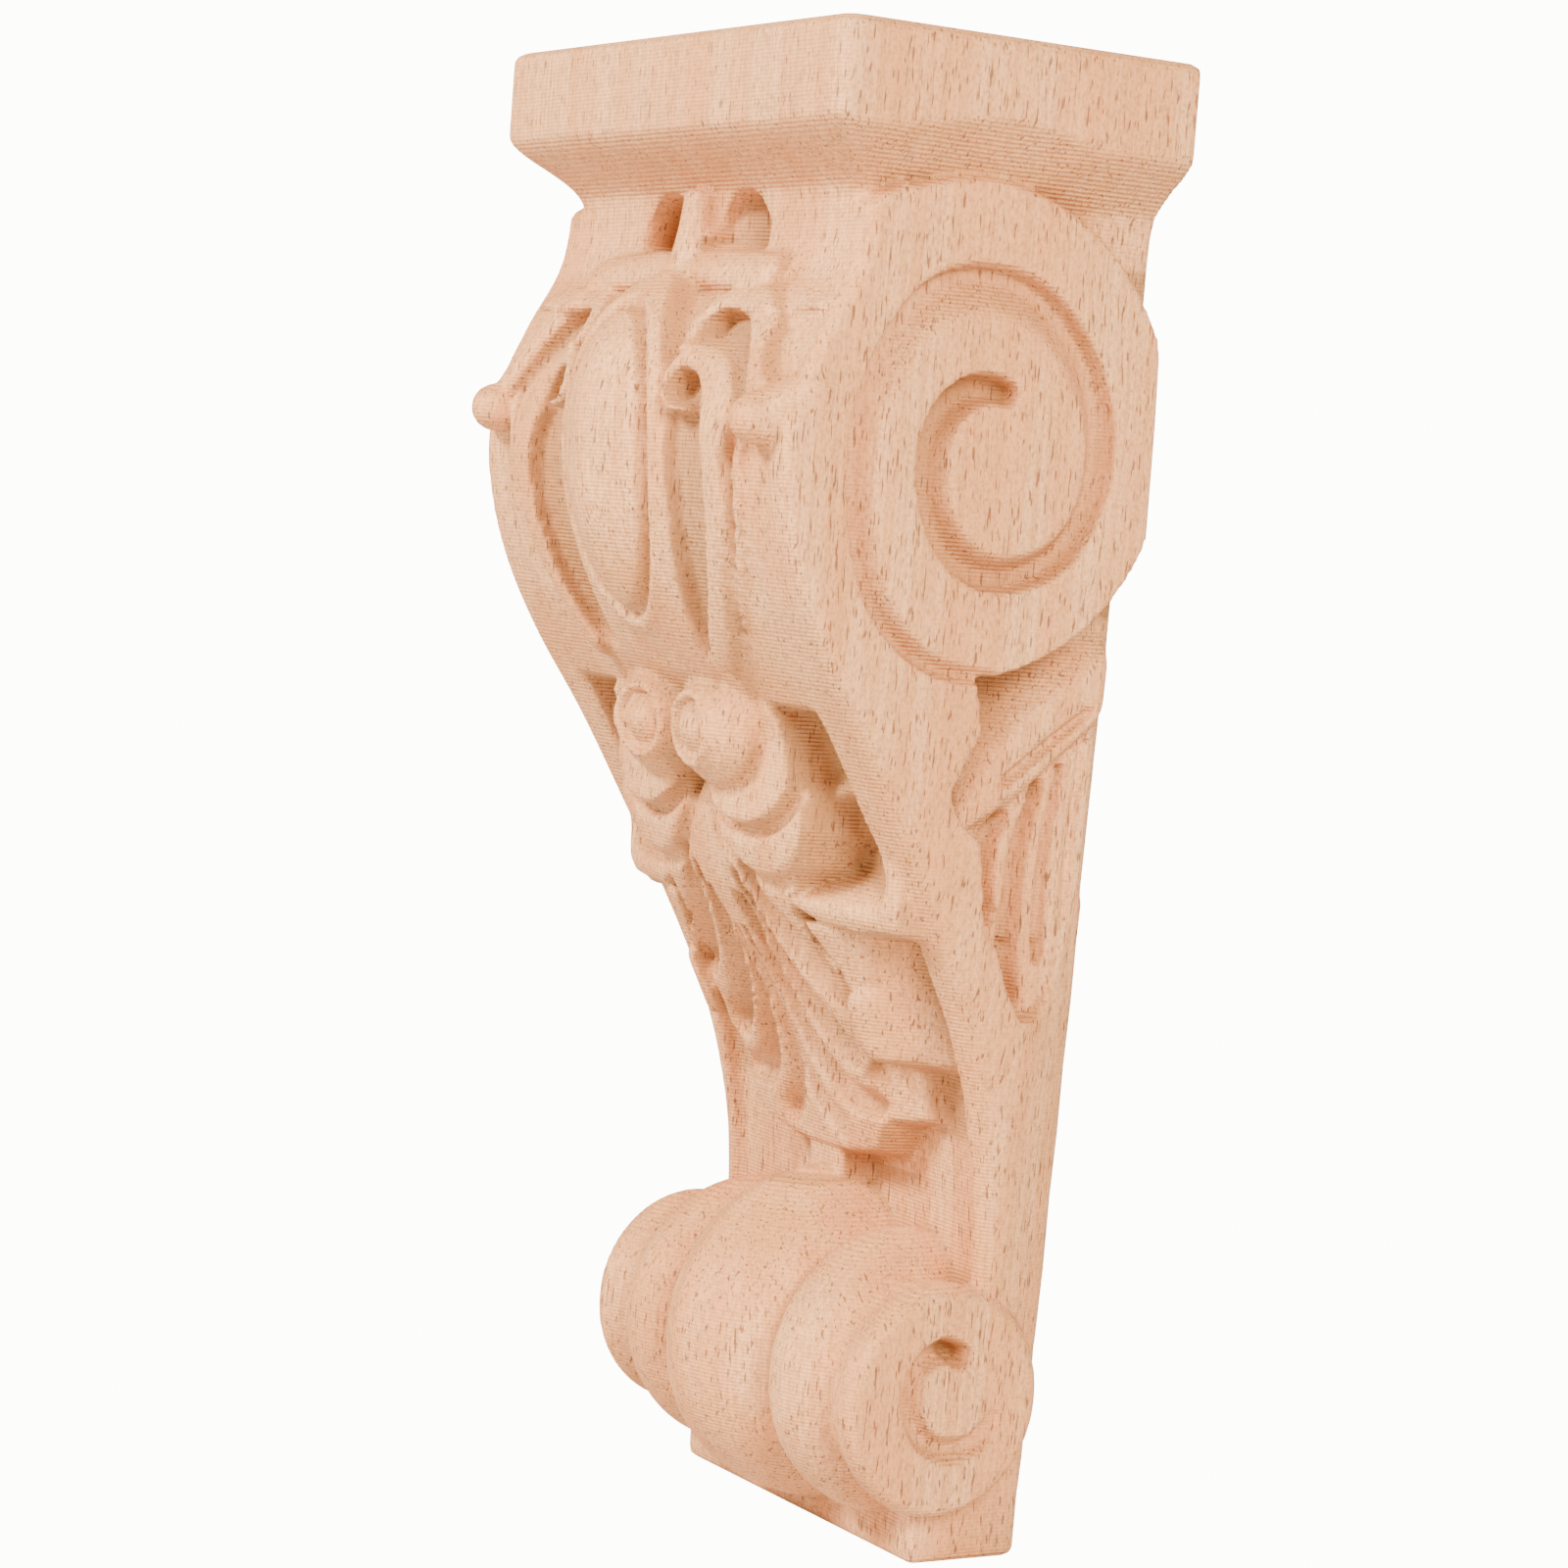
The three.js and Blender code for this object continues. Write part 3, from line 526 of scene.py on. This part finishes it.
# Spiral cut into each end, with its depths along the line, and the block behind the scroll
SCROLL_LINE = [
    (8.6, 20.8), (11.6, 17.8), (15.6, 17), (19.6, 18.8), (21.8, 23.6), (20.6, 28.4), (17.4, 30.6),
    (14.6, 29.6),
]
SCROLL_CUT = (0.8, 1.9, 2.3, 2.8, 3.0, 5.4)
SCROLL_CUT_HALF = 1.9
SCROLL_CUT_SHARP = 1.6
FOOT_DEPTH = 17.0
FOOT_TOP = 30
FOOT_ROUND = 2.0


def scroll_radius(x):
    """Radius of the scroll: the largest pillow at each place across its width."""
    radius = np.zeros_like(x)
    for middle, half, top, drop in PILLOWS:
        t = np.clip(np.abs(x - middle) / half, 0, PILLOW_REACH)
        radius = np.maximum(radius, top - drop * t ** PILLOW_POWER)
    return radius


def foot_scroll(x, y, z):
    """Signed distance, about, to the ribbed scroll."""
    side = np.abs(x)
    depth = np.interp(side, SCROLL_STOPS, SCROLL_DEPTHS)
    level = np.interp(side, SCROLL_STOPS, SCROLL_LEVELS)
    round_part = np.hypot(y + depth, (z - level) / SCROLL_TALLER) - scroll_radius(side)
    away, share, _ = to_path(fine_path(SCROLL_LINE, 4), -y, z)
    end = SCROLL_END - spread(SCROLL_CUT, share) * ease((1 - away / SCROLL_CUT_HALF) * SCROLL_CUT_SHARP)
    return smooth_max(round_part, side - end, SCROLL_END_ROUND)


def crown(x, y, z):
    """Signed distance, about, to the cap: slab, cove and the neck under it."""
    out = ease((z - NECK_LEVEL) / (SLAB_BOTTOM - NECK_LEVEL)) ** COVE_POWER
    root = np.clip(NECK_LEVEL - z, 0, None)
    half = mix(NECK_HALF, SLAB_HALF, out) - root * COVE_ROOT_LEAN[0]
    depth = mix(NECK_DEPTH, SLAB_DEPTH, out) - root * COVE_ROOT_LEAN[1]
    sides = smooth_max(np.abs(x) - half, -y - depth, CAP_ROUND)
    cap = smooth_max(sides * COVE_SCALE, z - HEIGHT, CAP_TOP_ROUND)
    cap = smooth_max(cap, NECK_LEVEL - COVE_ROOT - z, CAP_LOW_ROUND)
    outside = np.clip(-on_band(-y, z) - ARCH_RIM, 0, None)
    recess = np.abs(x) - BAND_HALF[-1][1] + ARCH_MOAT - ARCH_SLOPE * outside
    return smooth_max(cap, recess * MOAT_SCALE, MOAT_ROUND)


# Knob beside the belly and the stalk that joins it to the band, as middle and radius
KNOB = ((35.8, -57.2, 150.0), 3.3)
STALK = ((39.6, -51.5, 153.4), 2.7)
STALK_NARROWER = 0.9
STALK_MEETS = 0.5

# Shaft: its ends, and the rounding of its front corners below and above
SHAFT_BOTTOM = 24
SHAFT_TOP = 186
CORNER_ROUND = (4.2, 2.4)
CORNER_ROUND_FADE = (90, 40)
SLOPE_STEP = 0.25

# Sizes of the round corners where the forms meet, at the notches and at the edges
SHAFT_END_ROUND = 0.5
CAP_MEETS = 0.8
FOOT_MEETS = 0.6
SCROLL_MEETS = 0.5
KNOB_MEETS = 0.8
NOTCH_ROUND = 0.8
NOTCH_SCALE = 0.6
BACK_ROUND = 0.6


def knob(x, y, z):
    """Signed distance to the knob and its stalk, which widens towards the band."""
    centre, radius = KNOB
    root, root_radius = STALK
    run = np.subtract(root, centre)
    across, back, up = np.abs(x) - centre[0], y - centre[1], z - centre[2]
    t = np.clip((across * run[0] + back * run[1] + up * run[2]) / (run @ run), 0, 1)
    ball = np.sqrt(across ** 2 + back ** 2 + up ** 2) - radius
    axis = np.sqrt((across - run[0] * t) ** 2 + (back - run[1] * t) ** 2 + (up - run[2] * t) ** 2)
    return smooth_min(ball, axis - mix(radius - STALK_NARROWER, root_radius, t), STALK_MEETS)


def shaft(x, y, z):
    """Signed distance, about, to the carved shaft between the cap and the foot."""
    depth_x = front_depth(x, z)
    slope_x = (front_depth(x + SLOPE_STEP, z) - depth_x) / SLOPE_STEP
    slope_z = (front_depth(x, z + SLOPE_STEP) - depth_x) / SLOPE_STEP
    front = (-y - depth_x) / np.sqrt(1 + slope_x ** 2 + slope_z ** 2)
    side = side_half(-y, z)
    slope_y = (side_half(-y + SLOPE_STEP, z) - side) / SLOPE_STEP
    slope_up = (side_half(-y, z + SLOPE_STEP) - side) / SLOPE_STEP
    across = (np.abs(x) - side) / np.sqrt(1 + slope_y ** 2 + slope_up ** 2)
    rounded = smooth_max(front, across, mix(*CORNER_ROUND, fade(CORNER_ROUND_FADE, z)))
    return smooth_max(rounded, np.maximum(z - SHAFT_TOP, SHAFT_BOTTOM - z), SHAFT_END_ROUND)


def body(x, y, z):
    """Negative inside the wood and positive outside it, about in millimetres."""
    block = np.maximum(np.abs(x) - curve(CORE_HALF, z), -y - FOOT_DEPTH)
    foot = smooth_max(block, np.maximum(-z, z - FOOT_TOP), FOOT_ROUND)
    whole = smooth_min(shaft(x, y, z), crown(x, y, z), CAP_MEETS)
    whole = smooth_min(whole, foot, FOOT_MEETS)
    whole = smooth_min(whole, foot_scroll(x, y, z), SCROLL_MEETS)
    whole = smooth_min(whole, knob(x, y, z), KNOB_MEETS)
    whole = smooth_max(whole, (-y - notch_depth(x, z)) * NOTCH_SCALE, NOTCH_ROUND)
    return smooth_max(whole, y, BACK_ROUND)


def surface(field, low, step):
    """Closed quads round the negative part of a grid of values, with a vertex in each crossed cell.

    The vertex of a cell is the mean of the places where the surface crosses the cell's edges.
    """
    inside = field < 0
    total = np.zeros(tuple(n - 1 for n in field.shape) + (3,))
    count = np.zeros(tuple(n - 1 for n in field.shape))
    crossings = []
    for axis in range(3):
        first = [slice(None)] * 3
        second = [slice(None)] * 3
        first[axis] = slice(0, -1)
        second[axis] = slice(1, None)
        a, b = field[tuple(first)], field[tuple(second)]
        crossed = np.argwhere(inside[tuple(first)] != inside[tuple(second)])
        value_a = a[tuple(crossed.T)]
        value_b = b[tuple(crossed.T)]
        point = crossed.astype(float)
        point[:, axis] += value_a / (value_a - value_b)
        crossings.append((axis, crossed, value_a < 0))
        u, v = [k for k in range(3) if k != axis]
        for du in (0, -1):
            for dv in (0, -1):
                cell = crossed.copy()
                cell[:, u] += du
                cell[:, v] += dv
                np.add.at(total, tuple(cell.T), point)
                np.add.at(count, tuple(cell.T), 1)
    used = np.argwhere(count > 0)
    number = np.full(count.shape, -1)
    number[tuple(used.T)] = np.arange(len(used))
    vertices = total[tuple(used.T)] / count[tuple(used.T)][:, None] * step + low
    quads = []
    for axis, crossed, outward in crossings:
        u, v = (axis + 1) % 3, (axis + 2) % 3
        corners = []
        for du, dv in ((-1, -1), (0, -1), (0, 0), (-1, 0)):
            cell = crossed.copy()
            cell[:, u] += du
            cell[:, v] += dv
            corners.append(number[tuple(cell.T)])
        ring = np.stack(corners, 1)
        quads.append(np.where(outward[:, None], ring, ring[:, ::-1]))
    return vertices, np.concatenate(quads)


# Marks for the painted shade in the colour: reaches over which a hollow is felt, half width of the grooves
# that are filled, how much of that counts on the side, and how steep walls of the front are darkened with
# painted shade and the darker colour of their rough fibres
HOLLOW_REACHES = (1.7, 4.0)
GROOVE_REACH = 7.0
SIDE_SUNK = 0.7
STEEP_STEP = 0.5
STEEP_FROM = 1.3
STEEP_TINT = 3.0
STEEP_TOP = NECK_LEVEL - 3


def wood_share(field, reach):
    """Share of wood in the cube that reaches the given distance round each point of the grid."""
    share = np.clip(0.5 - field / GRID, 0, 1)
    side = round(reach / GRID)
    for axis in range(3):
        wide = np.pad(share, [(side + 1, side) if k == axis else (0, 0) for k in range(3)])
        total = np.moveaxis(np.cumsum(wide, axis), axis, 0)
        mean = (total[2 * side + 1:] - total[:-2 * side - 1]) / (2 * side + 1)
        share = np.moveaxis(mean, 0, axis)
    return share


def sample(field, low, points):
    """Value of a grid of values at each place, mixed from the eight corners round it."""
    top = np.array(field.shape) - 1.001
    at = np.clip((points - low) / GRID, 0, top)
    cell = at.astype(int)
    share = at - cell
    total = np.zeros(len(points))
    for corner in np.ndindex(2, 2, 2):
        weight = np.prod(np.where(corner, share, 1 - share), axis=1)
        total += weight * field[tuple((cell + corner).T)]
    return total


# Space round the wood in the grid, and the depth that the grid reaches from the wall
MARGIN = 2.0
DEEPEST = 62.0


def corbel_mesh():
    """Mesh of the corbel in metres, with the grid of values behind it and the grid's lowest corner."""
    low = np.array([-SLAB_HALF - MARGIN, -DEEPEST - MARGIN, -MARGIN])
    high = np.array([SLAB_HALF + MARGIN, MARGIN, HEIGHT + MARGIN])
    axes = [np.arange(low[k], high[k], GRID) for k in range(3)]
    x, y, z = np.meshgrid(*axes, indexing="ij", sparse=True)
    field = body(x, y, z)
    vertices, quads = surface(field, low, GRID)
    vertices = vertices - np.array(MIDDLE)
    mesh = bpy.data.meshes.new("corbel_carved")
    mesh.from_pydata((vertices * MM).tolist(), [], quads.tolist())
    mesh.update()
    return mesh, field, low


def highest(values, side):
    """Highest value in the square round each place of a grid."""
    for axis in range(2):
        wide = np.pad(values, [(side, side) if k == axis else (0, 0) for k in range(2)], mode="edge")
        count = values.shape[axis]
        values = np.max([wide.take(range(k, k + count), axis) for k in range(2 * side + 1)], axis=0)
    return values


def sunk_below(surface_height, across, up, place_across, place_up, place_height):
    """How far places lie below a surface whose narrow grooves are filled."""
    side = round(GROOVE_REACH / GRID)
    filled = -highest(-highest(surface_height(across[:, None], up[None, :]), side), side)
    column = np.clip(np.round((place_across - across[0]) / GRID).astype(int), 0, len(across) - 1)
    row = np.clip(np.round((place_up - up[0]) / GRID).astype(int), 0, len(up) - 1)
    return filled[column, row] - place_height


def mark_hollows(mesh, field, low):
    """Store at each vertex how far it lies in a hollow, and how many millimetres it is sunk in a groove, for
    painted shade in the colour.
    """
    place = np.array([vertex.co for vertex in mesh.vertices]) / MM + np.array(MIDDLE)
    hollow = np.zeros(len(place))
    # Share of wood round each vertex, which the colour darkens as painted shade in hollows
    for reach in HOLLOW_REACHES:
        hollow += (2 * sample(wood_share(field, reach), low, place) - 1) / len(HOLLOW_REACHES)
    x, y, z = place.T
    levels = np.arange(0, HEIGHT, GRID)
    front = sunk_below(front_depth, np.arange(-SLAB_HALF, SLAB_HALF, GRID), levels, x, z, -y)
    side = SIDE_SUNK * sunk_below(side_half, np.arange(0, SLAB_DEPTH, GRID), levels, -y, z, np.abs(x))
    # Steep walls of the front below the neck count as sunk too: painted shade, with the darker colour of
    # their rough fibres
    steep_x = front_depth(x + STEEP_STEP, z) - front_depth(x - STEEP_STEP, z)
    steep_z = front_depth(x, z + STEEP_STEP) - front_depth(x, z - STEEP_STEP)
    steep = np.hypot(steep_x, steep_z) / (2 * STEEP_STEP)
    wall = STEEP_TINT * np.clip(steep / STEEP_FROM - 1, 0, 1)
    front = np.maximum(front, np.where(z < STEEP_TOP, wall, 0))
    for name, values in (("hollow", hollow), ("sunk", np.minimum(front, side))):
        mesh.attributes.new(name, "FLOAT", "POINT").data.foreach_set("value", values)


def link(name, data):
    """New object in the scene."""
    thing = bpy.data.objects.new(name, data)
    bpy.context.scene.collection.objects.link(thing)
    return thing


def thin_out(thing):
    """Bring a piece under the limit of triangles."""
    triangles = sum(len(polygon.vertices) - 2 for polygon in thing.data.polygons)
    if triangles > MAX_TRIANGLES:
        slim = thing.modifiers.new("slim", "DECIMATE")
        slim.ratio = MAX_TRIANGLES / triangles
        bpy.context.view_layer.update()
        evaluated = thing.evaluated_get(bpy.context.evaluated_depsgraph_get())
        slimmed = bpy.data.meshes.new_from_object(evaluated)
        thing.modifiers.clear()
        thing.data = slimmed


carved_mesh, wood_field, field_low = corbel_mesh()
corbel = link("corbel_carved", carved_mesh)
thin_out(corbel)
mark_hollows(corbel.data, wood_field, field_low)
for polygon in corbel.data.polygons:
    polygon.use_smooth = True

# Raw wood: colours, the deep one also standing for painted shade in hollows and grooves,
# and sizes of its figure, streaks, pores, fuzz and cutter ribs in millimetres
LIGHT_WOOD = (0.93, 0.47, 0.225, 1)
WARM_WOOD = (0.86, 0.36, 0.14, 1)
END_WOOD = (0.66, 0.28, 0.1, 1)
# Deep colour of dark fibres and rib gaps, and of the painted shade in hollows, grooves and on steep walls
DEEP_WOOD_AND_SHADE = (0.36, 0.155, 0.045, 1)
PORE_WOOD = (0.15, 0.04, 0.01, 1)
FIGURE = (7, 7, 140)
STREAK = (0.55, 0.55, 34)
PORE = (0.36, 0.36, 2.6)
FUZZ = (0.42, 0.42, 0.672)
RIB_PITCH = 0.52
WAVE_TURNS = 20
ROUGHNESS = 0.78
BUMP_HEIGHT = 0.2 * MM
BUMP_STRENGTH = 0.6

material = bpy.data.materials.new("wood")
material.use_nodes = True
tree = material.node_tree
shader = tree.nodes["Principled BSDF"]


def node(kind, settings=None, **sockets):
    """New shader node; each socket gets a value, or a link from another node's output."""
    made = tree.nodes.new("ShaderNode" + kind)
    for name, value in (settings or {}).items():
        setattr(made, name, value)
    for name, value in sockets.items():
        name = name.replace("_", " ")
        socket = made.inputs[int(name[1:]) if name[0] == "i" and name[1:].isdigit() else name]
        if isinstance(value, bpy.types.NodeSocket):
            tree.links.new(value, socket)
        else:
            socket.default_value = value
    return made


def math_node(operation, a, b=0.0):
    """Result of one operation on two values."""
    return node("Math", {"operation": operation}, i0=a, i1=b).outputs[0]


def remap(value, low, high):
    """Value from low to high as 0 to 1."""
    made = node("MapRange", {"interpolation_type": "SMOOTHSTEP"}, Value=value, From_Min=low, From_Max=high)
    return made.outputs["Result"]


def blend(share, first, second):
    """Colour between two others."""
    made = node("Mix", {"data_type": "RGBA"}, i0=share, i6=first, i7=second)
    return made.outputs[2]


def noise(sizes, detail, roughness=0.5):
    """Noise whose grains have the given sizes in millimetres."""
    scaled = node("Mapping", Vector=in_mm, Scale=tuple(1 / size for size in sizes))
    made = node("TexNoise", Vector=scaled.outputs[0], Scale=1.0, Detail=detail, Roughness=roughness)
    return made.outputs["Fac"]


coordinates = node("TexCoord")
in_mm = node("Mapping", Vector=coordinates.outputs["Object"], Scale=(1 / MM, 1 / MM, 1 / MM)).outputs[0]
hollow = node("Attribute", {"attribute_name": "hollow"}).outputs["Fac"]
sunk = node("Attribute", {"attribute_name": "sunk"}).outputs["Fac"]
facing = node("SeparateXYZ", Vector=coordinates.outputs["Normal"]).outputs["Z"]
end_grain = remap(math_node("ABSOLUTE", facing), 0.15, 0.75)
# Painted shade: how far a place lies in a hollow or is sunk in a groove; it darkens the colour and also
# marks the rough zone
groove_shade = math_node("MAXIMUM", remap(hollow, 0.12, 0.62), remap(sunk, 0.2, 4.6))
figure = remap(noise(FIGURE, 2.0), 0.38, 0.64)
streak = remap(noise(STREAK, 3.0), 0.36, 0.68)
pore = remap(noise(PORE, 1.0), 0.62, 0.70)
fuzz = noise(FUZZ, 3.0, 0.6)
ribs = node(
    "TexWave", {"wave_type": "BANDS", "bands_direction": "Z", "wave_profile": "SIN"}, Vector=in_mm,
    Scale=math.tau / RIB_PITCH / WAVE_TURNS, Distortion=0.9, Detail=1.0, Detail_Scale=0.4,
)
rough_zone = remap(math_node("ADD", groove_shade, end_grain), 0.1, 1.1)

rib_gap = math_node("MULTIPLY", math_node("SUBTRACT", 1.0, ribs.outputs["Fac"]), rough_zone)
TINTS = [
    # where, how strong, colour
    (streak, 0.62, END_WOOD),
    (end_grain, 0.35, END_WOOD),
    # painted shade in hollows, grooves and on steep walls
    (groove_shade, 0.85, DEEP_WOOD_AND_SHADE),
    (rib_gap, 0.3, DEEP_WOOD_AND_SHADE),
    (remap(fuzz, 0.56, 0.36), 0.42, DEEP_WOOD_AND_SHADE),
    (pore, 0.75, PORE_WOOD),
]
colour = blend(figure, LIGHT_WOOD, WARM_WOOD)
for share, tint_strength, tint in TINTS:
    colour = blend(math_node("MULTIPLY", share, tint_strength), colour, tint)
tree.links.new(colour, shader.inputs["Base Color"])

rib_height = math_node("MULTIPLY", ribs.outputs["Fac"], math_node("MULTIPLY_ADD", rough_zone, 0.9))
relief = math_node("SUBTRACT", math_node("ADD", rib_height, math_node("MULTIPLY", fuzz, 0.9)), pore)
bump = node("Bump", Height=relief, Strength=BUMP_STRENGTH, Distance=BUMP_HEIGHT)
tree.links.new(bump.outputs["Normal"], shader.inputs["Normal"])
shader.inputs["Roughness"].default_value = ROUGHNESS
corbel.data.materials.clear()
corbel.data.materials.append(material)
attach(corbel, "root")
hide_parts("corbel")

# Camera: place and aim fitted to the photograph
CAMERA_PLACE = (453.617, -302.508, 40.686)
CAMERA_AZIMUTH = math.radians(58.752)
CAMERA_DOWN = math.radians(4.208)
CAMERA_ROLL = math.radians(-4.364)
FOCAL_SHARE = 3976.7 / 1600
SENSOR = 36.0
FAR_CLIP = 20

forward = Vector((
    -math.sin(CAMERA_AZIMUTH) * math.cos(CAMERA_DOWN),
    math.cos(CAMERA_AZIMUTH) * math.cos(CAMERA_DOWN),
    -math.sin(CAMERA_DOWN),
))
level_right = Vector((math.cos(CAMERA_AZIMUTH), math.sin(CAMERA_AZIMUTH), 0))
level_down = forward.cross(level_right)
right = level_right * math.cos(CAMERA_ROLL) + level_down * math.sin(CAMERA_ROLL)
down = level_down * math.cos(CAMERA_ROLL) - level_right * math.sin(CAMERA_ROLL)
lens = bpy.data.cameras.new("camera")
lens.sensor_width = SENSOR
lens.lens = FOCAL_SHARE * SENSOR
lens.clip_end = FAR_CLIP
camera = link("camera", lens)
camera.matrix_world = Matrix.Translation(Vector(CAMERA_PLACE) * MM) @ Matrix((
    (right.x, -down.x, -forward.x),
    (right.y, -down.y, -forward.y),
    (right.z, -down.z, -forward.z),
)).to_4x4()
bpy.context.scene.camera = camera

# Pale ground, which the camera doesn't see, and soft light; sizes in metres
HALF_FLOOR = 3.0
FLOOR_GAP = 0.0005
PALE = (0.85, 0.85, 0.85, 1)
PALE_ROUGHNESS = 0.9
SKY = (1, 0.94, 0.88, 1)
WORLD_FILL = 0.25
WORLD_SEEN = 14.0
LIGHTS = [
    # name, place, size, watts, colour
    ("key", (-0.2, -0.9, 0.7), 0.28, 29, (1, 0.93, 0.79)),
    ("side", (0.95, -0.25, 0.45), 0.4, 22, (1, 0.91, 0.75)),
]
LIGHT_TARGET = (0, -0.02, 0)

floor_level = -HEIGHT / 2 * MM - FLOOR_GAP
floor_corners = [(-1, -1), (1, -1), (1, 1), (-1, 1)]
floor_mesh = bpy.data.meshes.new("floor")
floor_mesh.from_pydata([(x * HALF_FLOOR, y * HALF_FLOOR, floor_level) for x, y in floor_corners],
                       [], [(0, 1, 2, 3)])
floor = link("floor", floor_mesh)
floor.visible_camera = False
pale = bpy.data.materials.new("pale")
pale.use_nodes = True
pale_shader = pale.node_tree.nodes["Principled BSDF"]
pale_shader.inputs["Base Color"].default_value = PALE
pale_shader.inputs["Roughness"].default_value = PALE_ROUGHNESS
floor.data.materials.append(pale)

world = bpy.data.worlds.new("surround")
bpy.context.scene.world = world
world.use_nodes = True
sky = world.node_tree.nodes["Background"]
sky.inputs["Color"].default_value = SKY
seen = world.node_tree.nodes.new("ShaderNodeLightPath")
strength = world.node_tree.nodes.new("ShaderNodeMapRange")
strength.inputs["To Min"].default_value = WORLD_FILL
strength.inputs["To Max"].default_value = WORLD_SEEN
world.node_tree.links.new(seen.outputs["Is Camera Ray"], strength.inputs["Value"])
world.node_tree.links.new(strength.outputs["Result"], sky.inputs["Strength"])


def area_light(name, place, size, watts, light_colour):
    """Square light that looks at the object."""
    data = bpy.data.lights.new(name, "AREA")
    data.shape = "SQUARE"
    data.size = size
    data.energy = watts
    data.color = light_colour
    lamp = link(name, data)
    turn = (Vector(LIGHT_TARGET) - Vector(place)).to_track_quat("-Z", "Y")
    lamp.matrix_world = Matrix.Translation(Vector(place)) @ turn.to_matrix().to_4x4()


for light in LIGHTS:
    area_light(*light)
